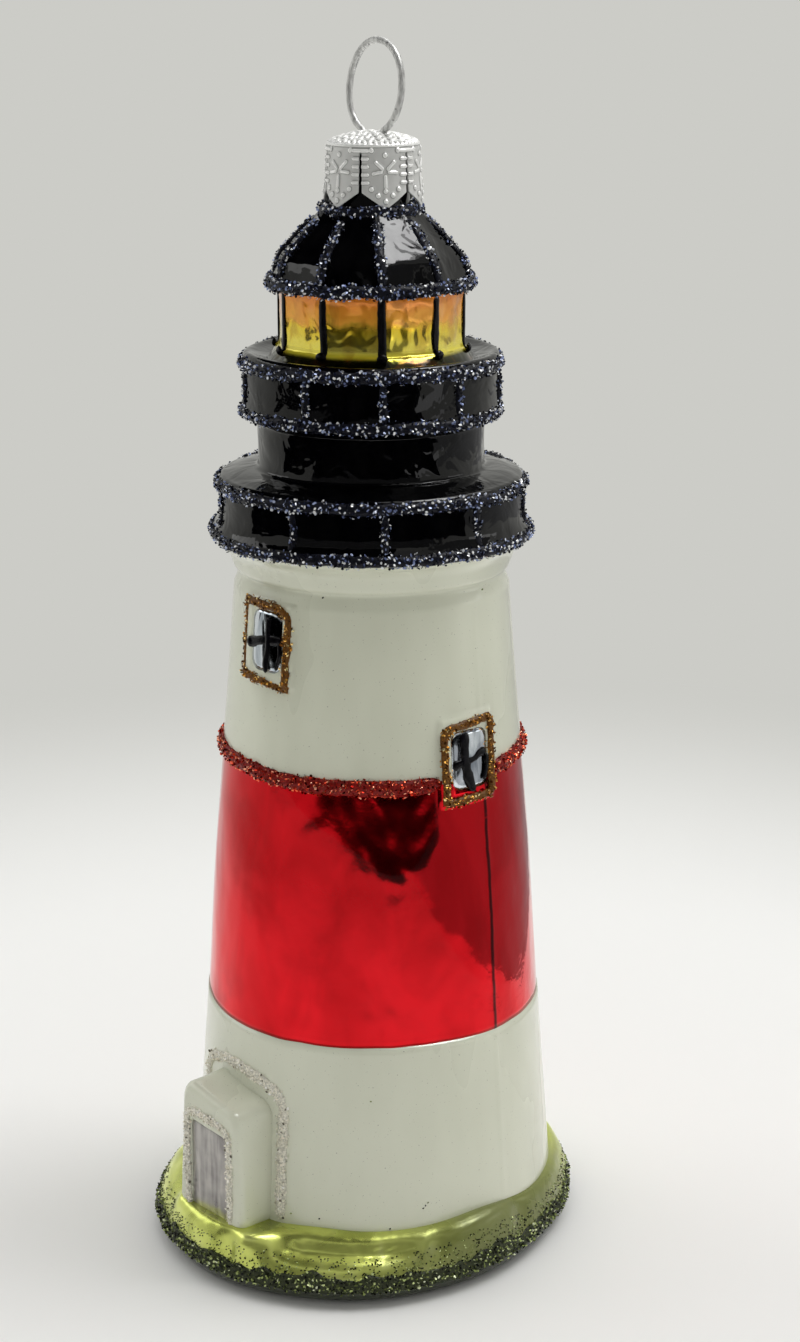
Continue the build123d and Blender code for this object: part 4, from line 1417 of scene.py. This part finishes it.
class LIGHTHOUSE_OT_loop(bpy.types.Operator):
    """Wire loop that springs out of the cap"""

    bl_idname = "lighthouse.loop"
    bl_label = "Loop"

    def execute(self, context):
        crest = LOOP_TOP - WIRE / 2
        belly = CAP_TOP + 5.6
        half = [(1.0, LOOP_FOOT + 0.1)]
        half += steps_from(0, CAP_TOP, (1.0, -4), (1.1, -1.5), (1.5, -0.4))
        for a in (-1.15, -0.85, -0.55, -0.25, 0.05, 0.4, 0.8, 1.2):
            half.append((LOOP_R * math.cos(a), belly + (crest - belly) * math.sin(a)))
        right = [(x, 0, z) for x, z in half]
        left = [(-x, 0, z) for x, z in reversed(half)]
        path = smooth_line(right + [(0, 0, crest)] + left, 8)
        for point in path:
            lean = 0.65 * step(point.z, CAP_TOP - 1, crest)
            point += outward(LEAN) * (0.3 + lean)
            point.y += 0.12 * ripple(point, 6, 111)
        count = len(path)
        normals = [Vector((0, -1, 0))] * count
        points, faces = tube(path, normals, [WIRE] * count, [WIRE / 2] * count, False, 18)
        finish = coated(drawn_wire, context.scene.lighthouse_colours)
        wire = mesh_piece("wire_loop", points, faces, finish)
        finish_piece(wire, "loop_wire", "hanger_wire")
        return {"FINISHED"}


# ---- glitter ----

GLITTERS = {
    # colour of the glue, metallic, roughness and the tints of the flakes
    "navy_flakes": ((0.006, 0.007, 0.016), 0.3, 0.16, (
        (0.0, (0.002, 0.002, 0.005)), (0.44, (0.008, 0.01, 0.026)), (0.5, (0.13, 0.165, 0.34)),
        (0.7, (0.42, 0.5, 0.78)), (0.82, (0.95, 0.97, 1.0)), (1.0, (1.0, 1.0, 1.0)))),
    "copper_red_flakes": ((0.3, 0.006, 0.003), 0.9, 0.16, (
        (0.0, (0.04, 0.002, 0.001)), (0.35, (0.25, 0.006, 0.003)), (0.5, (0.9, 0.05, 0.02)),
        (0.75, (1.0, 0.22, 0.1)), (1.0, (1.0, 0.5, 0.34)))),
    "copper_brown_flakes": ((0.2, 0.08, 0.01), 0.85, 0.16, (
        (0.0, (0.06, 0.02, 0.003)), (0.3, (0.22, 0.08, 0.01)), (0.45, (0.6, 0.27, 0.04)),
        (0.78, (0.95, 0.52, 0.12)), (1.0, (1.0, 0.85, 0.45)))),
    "pearl_flakes": ((0.95, 0.92, 0.8), 0.1, 0.2, (
        (0.0, (0.06, 0.06, 0.045)), (0.06, (0.2, 0.18, 0.14)), (0.1, (0.8, 0.77, 0.66)),
        (0.5, (0.95, 0.92, 0.8)), (0.8, (1.0, 0.93, 0.8)), (1.0, (1.0, 1.0, 0.98)))),
    "moss_flakes": ((0.045, 0.055, 0.022), 0.4, 0.22, (
        (0.0, (0.002, 0.003, 0.001)), (0.38, (0.008, 0.01, 0.004)), (0.46, (0.13, 0.16, 0.05)),
        (0.75, (0.33, 0.4, 0.13)), (0.92, (0.65, 0.74, 0.33)), (1.0, (0.9, 0.95, 0.7)))),
}


def glitter_glue(name):
    """Glue with flakes in it; the tint attribute is 0 on the glue and varies over the flakes."""
    glue, metallic, shine, stops = GLITTERS[name]
    finish = Finish(name, IOR=1.33)
    tint = finish.attribute("tint")
    flake = tint.step(0.005, 0.02)
    speckle = finish.noise(0.25, 2)
    ground = finish.ramp(speckle, (0.4, tuple(0.6 * c for c in glue)), (0.65, glue))
    finish.set("Base Color", finish.mix(flake, ground, finish.ramp(tint, *stops)))
    finish.set("Metallic", metallic * flake)
    finish.set("Roughness", shine + 0.25 * (1 - flake))
    finish.bump(speckle, 0.6, 0.12)
    return finish.material


def strew(name, shells, finish, slot, nodes, seed, density=1.0, covers=None):
    """Joins lines of glue, strews flakes on them and hands the piece over."""
    sizes = bpy.context.scene.lighthouse_sizes
    piece = joined(name, shells, finish)
    if covers is None:
        upper = [float(math.sin(2 * math.pi * k / TUBE_SIDES) > -0.35) for k in range(TUBE_SIDES)]
        covers = [upper[k % TUBE_SIDES] for points, _ in shells for k in range(len(points))]
    set_values(piece, "cover", covers)
    tree = bpy.data.node_groups.get("strewn_glitter") or glitter_tree()
    settle(piece, tree, {
        "Density": sizes.flakes * density, "Flake": sizes.flake / MM,
        "Seed": seed, "Finish": finish})
    finish_piece(piece, slot, *nodes)


def ring_line(radius, level, width, height, seed, count=260):
    """A closed line of glue round the ornament; level gives its height at an azimuth."""
    path, normals = [], []
    for i in range(count):
        azimuth = 360 * i / count
        path.append(around(azimuth, radius, level(azimuth)))
        normals.append(outward(azimuth))
    return stroke(path, normals, width, height, seed, closed=True)


POST_SHIFTS = (0, -1.5, -1, 2, 0, 1, -1, 0, -5, -10)        # posts set one by one, in degrees


class LIGHTHOUSE_OT_navy_glitter(bpy.types.Operator):
    """Navy glitter on the roof's ribs and edges and on the galleries"""

    bl_idname = "lighthouse.navy_glitter"
    bl_label = "Navy glitter"

    def execute(self, context):
        glue = context.scene.lighthouse_sizes.glue / MM
        finish = glitter_glue("navy_flakes")
        slot = "navy_glitter"

        def eave_level(azimuth):
            return EAVE + 0.05 + 0.3 * wander(azimuth, 6, 120)

        def neck_level(azimuth):
            return ROOF_TOP - 0.4 + 0.2 * wander(azimuth, 4, 122)

        eave = ring_line(EAVE_R - 0.1, eave_level, glue + 0.1, 0.6, 121)
        strew("glitter_eave", [eave], finish, slot, ["eave_ring"], 1)
        neck = ring_line(ROOF_TOP_R, neck_level, 1.8, 0.5, 123, 120)
        strew("glitter_neck", [neck], finish, slot, ["neck_ring"], 2)

        shells = []
        slope = steps_from(
            EAVE_R, EAVE, (-0.25, 0.7), (-0.7, 2.2), (-1.25, 3.5), (-2.6, 5.0), (-4.3, 6.8))
        slope.append((ROOF_TOP_R + 0.9, ROOF_TOP - 1.2))
        line = smooth_line(slope, 5)
        for corner in range(SIDES):
            path, normals = [], []
            for i, p in enumerate(line):
                run = line[min(i + 1, len(line) - 1)] - line[max(i - 1, 0)]
                azimuth = PANE / 2 + PANE * corner + 0.9 * ripple((7 * corner, 0, p.y), 4, 124)
                path.append(around(azimuth, p.x, p.y))
                normals.append((outward(azimuth) * run.y - Vector((0, 0, 1)) * run.x).normalized())
            shells.append(stroke(path, normals, 0.78 * glue, 0.36, 125 + corner))
        strew("glitter_ribs", shells, finish, slot, ["roof_ribs"], 3)

        def high_top(azimuth):
            away = abs(angle_between(azimuth, SEEN))
            level = HIGH_RIM - 1.25 - 0.35 * bump(away - 85, 32) + 0.85 * step(away, 100, 160)
            return level + 0.25 * wander(azimuth, 7, 140)

        def high_foot(azimuth):
            return HIGH_FOOT + 0.75 + 0.25 * wander(azimuth, 7, 141)

        def low_top(azimuth):
            away = abs(angle_between(azimuth, SEEN))
            return LOW_RIM - 1.1 + 1.1 * step(away, 100, 160) + 0.25 * wander(azimuth, 7, 142)

        def low_foot(azimuth):
            return LOW_FOOT + 0.15 + 0.25 * wander(azimuth, 7, 143)

        rings = (
            ("upper_gallery_top_ring", HIGH_R - 0.1, high_top, glue + 0.1),
            ("upper_gallery_foot_ring", HIGH_R - 0.1, high_foot, glue - 0.1),
            ("lower_gallery_top_ring", LOW_R - 0.1, low_top, glue),
            ("lower_gallery_foot_ring", LOW_FOOT_R - 0.15, low_foot, glue),
        )
        for seed, (node, radius, level, width) in enumerate(rings):
            line = ring_line(radius, level, width, 0.55, 144 + seed, 320)
            strew(node.replace("gallery", "glitter"), [line], finish, slot, [node], 10 + seed)

        for node, radius, flare, low, high in (
            ("upper_gallery_posts", HIGH_R, 0.0, HIGH_FOOT + 1.2, high_top),
            ("lower_gallery_posts", LOW_R, 1.0, LOW_FOOT + 0.7, low_top),
        ):
            shells = []
            for corner, shift in enumerate(POST_SHIFTS):
                azimuth = PANE / 2 + PANE * corner + shift
                top = high(azimuth) - 0.5
                path, normals = [], []
                for i in range(16):
                    z = low + (top - low) * i / 15
                    turn = azimuth + 0.8 * ripple((5 * corner, 3, z), 3.5, 150)
                    out = radius - 0.12 + flare * (1 - step(z, LOW_FOOT, LOW_FOOT + 2.6))
                    path.append(around(turn, out, z))
                    normals.append(outward(turn))
                shells.append(stroke(path, normals, 0.74 * glue, 0.42, 151 + corner, blunt=0.8))
            strew(node.replace("gallery", "glitter"), shells, finish, slot, [node], 20 + int(flare))
        return {"FINISHED"}


class LIGHTHOUSE_OT_copper_glitter(bpy.types.Operator):
    """Copper glitter on the red band's edge and round the windows"""

    bl_idname = "lighthouse.copper_glitter"
    bl_label = "Copper glitter"

    def execute(self, context):
        finish = glitter_glue("copper_red_flakes")
        shells = []
        gap, steps = 12.2, 130         # the low windows interrupt the ring
        for _, start, *_ in WINDOWS[1::2]:
            spots = []
            for i in range(steps + 1):
                azimuth = start + gap + (180 - 2 * gap) * i / steps
                spots.append(on_tower(azimuth, white_edge(azimuth) + 0.1, -0.05))
            shells.append(stroke(*zip(*spots), 2.15, 0.62, int(start), blunt=1.0))
        strew("glitter_band", shells, finish, "copper_glitter", ["band_ring"], 30, 1.05)

        finish = glitter_glue("copper_brown_flakes")
        for number, (node, azimuth, level, _, _) in enumerate(WINDOWS):
            loop = even_loop(BORDERS[number % 2][::-1], 110)
            path, normals = drawn_on_tower(azimuth, level, loop, 0.16, 1.7, (170, 171), number, 0.0)
            line = stroke(path, normals, 1.1, 0.4, 172 + number, closed=True)
            name = "glitter_" + node.replace("_border", "")
            strew(name, [line], finish, "copper_glitter", [node], 31 + number)
        return {"FINISHED"}


class LIGHTHOUSE_OT_pearl_glitter(bpy.types.Operator):
    """Iridescent white glitter round the door and where the porch meets the tower"""

    bl_idname = "lighthouse.pearl_glitter"
    bl_label = "Pearl glitter"

    def execute(self, context):
        finish = glitter_glue("pearl_flakes")
        foot = MOUND_TOP + 0.3
        door = smooth_line(steps_from(
            0, foot, (-5.1, -0.6), (-5.2, 5), (-5.15, 10), (-5.0, 13.1), (-3.8, 13.8), (-0.8, 13.7),
            (2.4, 13.2), (3.55, 12.1), (3.8, 9), (3.8, 4), (3.7, -0.9),
        ), 9)
        path = []
        for x, z in door:
            shake = 0.15 * ripple((x, 0, z), 2.2, 181)
            path.append(Vector((x, -PORCH_FRONT + 0.05, z)) + shake * Vector((1, 0, 0.4)))
        line = stroke(path, [Vector((0, -1, 0))] * len(path), 1.1, 0.35, 182, blunt=1.0)
        strew("glitter_door", [line], finish, "white_glitter", ["door_outline"], 40)

        arch = smooth_line(steps_from(
            # azimuth and height
            0, foot, (-23, 0.5), (-23.6, 8), (-24.3, 15.5), (-21.5, 17.9), (-15, 19.1), (-4, 19.6),
            (6, 18.9), (13, 17.9), (16.8, 15.8), (17.2, 12.5), (17.1, 6), (17.3, -0.3),
        ), 9)
        spots = []
        for azimuth, z in arch:
            shaken = azimuth + 0.5 * ripple((azimuth, 0, z), 2.5, 183)
            spots.append(on_tower(shaken, z + 0.15 * ripple((azimuth, 0, z), 2.5, 184), -0.02))
        line = stroke(*zip(*spots), 1.6, 0.4, 185, blunt=1.0)
        strew("glitter_porch", [line], finish, "white_glitter", ["porch_outline"], 41, 0.9)
        return {"FINISHED"}


LOOSE = 2600
STRAYS = (
    # azimuth, height and number of the flakes that stick to the tower
    (46.7, 27, 1), (63, 11.4, 3), (30.5, 9.9, 1), (21, 9.9, 1), (52.5, 8.9, 1),
    (27.6, 94.6, 1), (98.9, 94.2, 1),
)


def flake(spot, normal, size, seed):
    """One flat five-sided flake lying about square to a normal."""
    normal = (normal.normalized() + 0.5 * noise.random_vector()).normalized()
    side = normal.orthogonal().normalized()
    other = normal.cross(side)
    corners, thick = 5, 0.07
    rim = []
    for k in range(corners):
        angle = seed * 1.9 + 2 * math.pi * k / corners
        rim.append(spot + size / 2 * (math.cos(angle) * side + 0.8 * math.sin(angle) * other))
    points = rim + [spot + normal * thick, spot - normal * thick]
    faces = fan(0, corners, corners) + fan(0, corners, corners + 1, False)
    return points, faces


class LIGHTHOUSE_OT_moss_glitter(bpy.types.Operator):
    """Dark green glitter round the mound's rim, with loose flakes above it"""

    bl_idname = "lighthouse.moss_glitter"
    bl_label = "Moss glitter"

    def execute(self, context):
        columns = 360
        stations = (
            # place down the mound's side, lift of the glue and how thickly it is strewn
            (1.06, -0.3, 0), (1.06, 0.08, 0.6), (1.02, 0.22, 1), (0.98, 0.32, 1), (0.93, 0.34, 1),
            (0.88, 0.28, 1), (0.83, 0.18, 0.9), (0.79, 0.05, 0.6), (0.79, -0.4, 0),
        )
        points, covers = [], []
        for i, (share, lift, cover) in enumerate(stations):
            for j in range(columns):
                sway = 0.07 * wander(j, 4, 190) + 0.09 * wander(j, 1.1, 191)
                up = sway * step(1.1 - share, 0, 0.3)
                points.append(on_mound(j, share - up, lift * (1 + 0.3 * wander(j, 1.5, 192 + i))))
                covers.append(cover)
        faces = grid_faces(len(stations), columns, True, True)
        finish = glitter_glue("moss_flakes")
        hem = [(points, faces)]
        strew("glitter_hem", hem, finish, "green_glitter", ["mound_hem"], 50, covers=covers)

        noise.seed_set(50)
        loose = []
        for _ in range(LOOSE):
            spread = noise.random_vector()
            azimuth = 180 * noise.random_vector().x + SEEN
            share = 0.84 - 0.34 * abs(noise.random_vector().x) ** 1.7
            loose.append(on_mound(azimuth, share, 0.05) + 0.05 * spread)
        shells = []
        for k, spot in enumerate(loose):
            facing = outward(math.degrees(math.atan2(spot.x, -spot.y))) + Vector((0, 0, 1.2))
            shells.append(flake(spot, facing, 0.3, k))
        for k, (azimuth, z, count) in enumerate(STRAYS):
            for extra in range(count):
                point, normal = on_tower(azimuth + 0.8 * extra, z + 0.35 * extra, 0.02)
                shells.append(flake(point, normal, 0.34, 500 + k + extra))
        piece = joined("loose_flakes", shells, finish, False)
        tints = []
        for k, (points, _) in enumerate(shells):
            tints += [0.03 + 0.9 * (k * 0.618 % 1) ** 1.4] * len(points)
        set_values(piece, "tint", tints)
        finish_piece(piece, "green_glitter", "mound_hem")
        return {"FINISHED"}


# ---- the stage ----

def pale_floor():
    """White floor whose far part and wall keep one plain tone."""
    finish = Finish("pale_floor", Roughness=0.7, IOR=1.3)
    finish.set("Base Color", (0.86, 0.86, 0.845))
    reach = finish.node("ShaderNodeVectorMath", {"operation": "LENGTH"}, {0: finish.place}, "Value")
    seen = 0
    for ray in ("Is Camera Ray", "Is Glossy Ray", "Is Transmission Ray"):
        seen = finish.node("ShaderNodeLightPath", {}, {}, ray) + seen
    far = reach.step(110, 280) * finish.node("ShaderNodeClamp", {}, {0: seen})
    glow = finish.node("ShaderNodeEmission", {}, {"Color": (0.604, 0.604, 0.571)})
    shader = Signal(finish, finish.shader.outputs[0])
    mixed = finish.node("ShaderNodeMixShader", {}, {0: far, 1: shader, 2: glow})
    finish.connect(finish.tree.nodes["Material Output"].inputs["Surface"], mixed)
    return finish.material


def linked(name, data):
    """A new object in the scene, turned by a quaternion."""
    thing = bpy.data.objects.new(name, data)
    thing.rotation_mode = "QUATERNION"
    bpy.context.scene.collection.objects.link(thing)
    return thing


def lamp(name, azimuth, elevation, distance, size, radiance):
    """Soft rectangular lamp that looks at the ornament; lengths are in metres."""
    light = bpy.data.lights.new(name, "AREA")
    light.shape = "RECTANGLE"
    light.size, light.size_y = size
    light.energy = radiance * math.pi * size[0] * size[1]
    thing = linked(name, light)
    rise = math.radians(elevation)
    way = outward(azimuth) * math.cos(rise) + Vector((0, 0, math.sin(rise)))
    thing.location = Vector((0, 0, 0.08)) + distance * way
    thing.rotation_quaternion = way.to_track_quat("Z", "Y")


def card(name, tone, lines):
    """Plain card, seen only in reflections, through lines of points."""
    finish = Finish(name, Roughness=1.0, Specular_IOR_Level=0.0, Emission_Strength=1.0)
    finish.set("Base Color", (0, 0, 0))
    finish.set("Emission Color", (tone, tone, tone))
    points = [point for line in lines for point in line]
    faces = grid_faces(len(lines), len(lines[0]), False, False)
    sheet = mesh_piece(name, points, faces, finish.material)
    sheet.visible_camera = sheet.visible_diffuse = False
    sheet.visible_shadow = sheet.visible_transmission = False


def screen(name, tone, radius, azimuths, elevations, middle=90):
    """Card on a sphere about a point of the axis."""
    lines = []
    for elevation in elevations:
        rise = math.radians(elevation)
        level = middle + radius * math.sin(rise)
        lines.append([around(a, radius * math.cos(rise), level) for a in azimuths])
    card(name, tone, lines)


def table(name, tone, azimuths, near, height, far=620):
    """Card that lies just over the floor, from a line of radii out to the screens."""
    outer = [around(a, far, height) for a in azimuths]
    inner = [around(a, r, height) for a, r in zip(azimuths, near)]
    card(name, tone, [outer, inner])


def sweep():
    """The floor, which rises to a wall all round."""
    bend, reach, columns = 1000, 1300, 96
    profile = [(r, 0) for r in (60, 150, 300, 700, reach)]
    for angle in range(10, 100, 10):
        turn = math.radians(angle)
        profile.append((reach + bend * math.sin(turn), bend - bend * math.cos(turn)))
    profile.append((reach + bend, 2600))
    points = [around(360 * j / columns, r, z) for r, z in profile for j in range(columns)]
    points.append(Vector((0, 0, 0)))
    faces = [tuple(reversed(face)) for face in grid_faces(len(profile), columns, False, True)]
    faces += fan(0, columns, len(points) - 1)
    mesh_piece("floor", points, faces, pale_floor())


def reflections():
    """The cards that the glass and the enamel mirror."""
    screen("window", 14.0, 630, range(124, 153, 7), range(54, 75, 5))
    screen("dark_screen", 0.0, 620, range(-15, 96, 5), (-8, -6, -4, -2))
    screen("room_screen", 0.12, 620, range(-15, 96, 5), range(-2, 34, 5))
    screen("low_screen", 0.0, 622, range(-45, 91, 5), (-8.3, -7.0, -6.0))
    screen("roof_screen", 0.0, 200, range(-110, 71, 10), range(22, 95, 6), 138)
    screen("grey_screen", 0.2, 618, range(96, 151, 6), range(16, 47, 6))
    screen("lantern_card", 1.25, 180, range(86, 115, 4), (-4.5, 0, 4.5), 80)
    card("gallery_collar", 0.0, [[around(a, 60, z) for a in range(-36, 109, 8)] for z in (70, 104)])
    table("dark_table", 0.0, (-45, -15, 5, 20, 35, 46, 52, 60, 70, 80, 86, 93),
          (430, 430, 430, 430, 405, 380, 352, 338, 338, 352, 378, 400), 1)
    table("grey_table", 0.36, (68, 80, 90, 100, 110, 120, 133, 145, 160, 170, 180, 190, 205),
          (430, 285, 225, 190, 165, 150, 140, 130, 125, 125, 130, 140, 160), 0.6)


class LIGHTHOUSE_OT_stage(bpy.types.Operator):
    """Pale sweep, soft studio light and the camera"""

    bl_idname = "lighthouse.stage"
    bl_label = "Stage"

    def execute(self, context):
        scene = context.scene
        scene.view_settings.view_transform = "Standard"
        world = bpy.data.worlds.new("soft_sky")
        world.use_nodes = True
        sky = world.node_tree.nodes["Background"].inputs
        sky["Color"].default_value = (1, 1, 0.985, 1)
        sky["Strength"].default_value = 0.5
        scene.world = world

        sweep()
        lamp("window_lamp", 144, 62, 1.0, (0.42, 0.46), 4.9)
        lamp("left_fill", -65, 36, 1.4, (0.9, 0.9), 1.25)
        lamp("right_fill", 140, 22, 1.3, (0.5, 0.7), 1.25)
        lamp("overhead", 220, 72, 1.2, (1.4, 1.4), 0.95)
        reflections()

        azimuth, distance, height = 47.5, 0.3351, 0.1747
        dip, aside = math.radians(15.8), 28 / 2550
        lens = bpy.data.cameras.new("camera")
        lens.lens, lens.sensor_width = 68.4, 36
        lens.clip_start = 0.01
        camera = linked("camera", lens)
        camera.location = outward(azimuth) * distance + Vector((0, 0, height))
        forward = -outward(azimuth) * math.cos(dip) - Vector((0, 0, math.sin(dip)))
        forward += outward(azimuth + 90) * aside
        camera.rotation_quaternion = forward.to_track_quat("-Z", "Y")
        scene.camera = camera
        return {"FINISHED"}


# ---- the add-on ----

class LIGHTHOUSE_PT_panel(bpy.types.Panel):
    """Lists the sizes, the colours and the pieces"""

    bl_label = "Lighthouse"
    bl_idname = "LIGHTHOUSE_PT_panel"
    bl_space_type = "VIEW_3D"
    bl_region_type = "UI"
    bl_category = "Lighthouse"

    def draw(self, context):
        layout = self.layout
        for group in (context.scene.lighthouse_sizes, context.scene.lighthouse_colours):
            column = layout.column(align=True)
            for name in group.__annotations__:
                column.prop(group, name)
        for operator in OPERATORS:
            layout.operator(operator.bl_idname)


OPERATORS = (
    LIGHTHOUSE_OT_stage,
    LIGHTHOUSE_OT_tower,
    LIGHTHOUSE_OT_galleries,
    LIGHTHOUSE_OT_roof,
    LIGHTHOUSE_OT_lantern,
    LIGHTHOUSE_OT_mound,
    LIGHTHOUSE_OT_porch,
    LIGHTHOUSE_OT_windows,
    LIGHTHOUSE_OT_cap,
    LIGHTHOUSE_OT_loop,
    LIGHTHOUSE_OT_navy_glitter,
    LIGHTHOUSE_OT_copper_glitter,
    LIGHTHOUSE_OT_pearl_glitter,
    LIGHTHOUSE_OT_moss_glitter,
)
CLASSES = (LighthouseSizes, LighthouseColours, *OPERATORS, LIGHTHOUSE_PT_panel)


def register():
    for cls in CLASSES:
        bpy.utils.register_class(cls)
    bpy.types.Scene.lighthouse_sizes = bpy.props.PointerProperty(type=LighthouseSizes)
    bpy.types.Scene.lighthouse_colours = bpy.props.PointerProperty(type=LighthouseColours)


def unregister():
    del bpy.types.Scene.lighthouse_colours
    del bpy.types.Scene.lighthouse_sizes
    for cls in reversed(CLASSES):
        bpy.utils.unregister_class(cls)


def main():
    """Builds the whole ornament."""
    register()
    for operator in OPERATORS:
        group, name = operator.bl_idname.split(".")
        getattr(getattr(bpy.ops, group), name)()


if __name__ == "__main__":
    main()
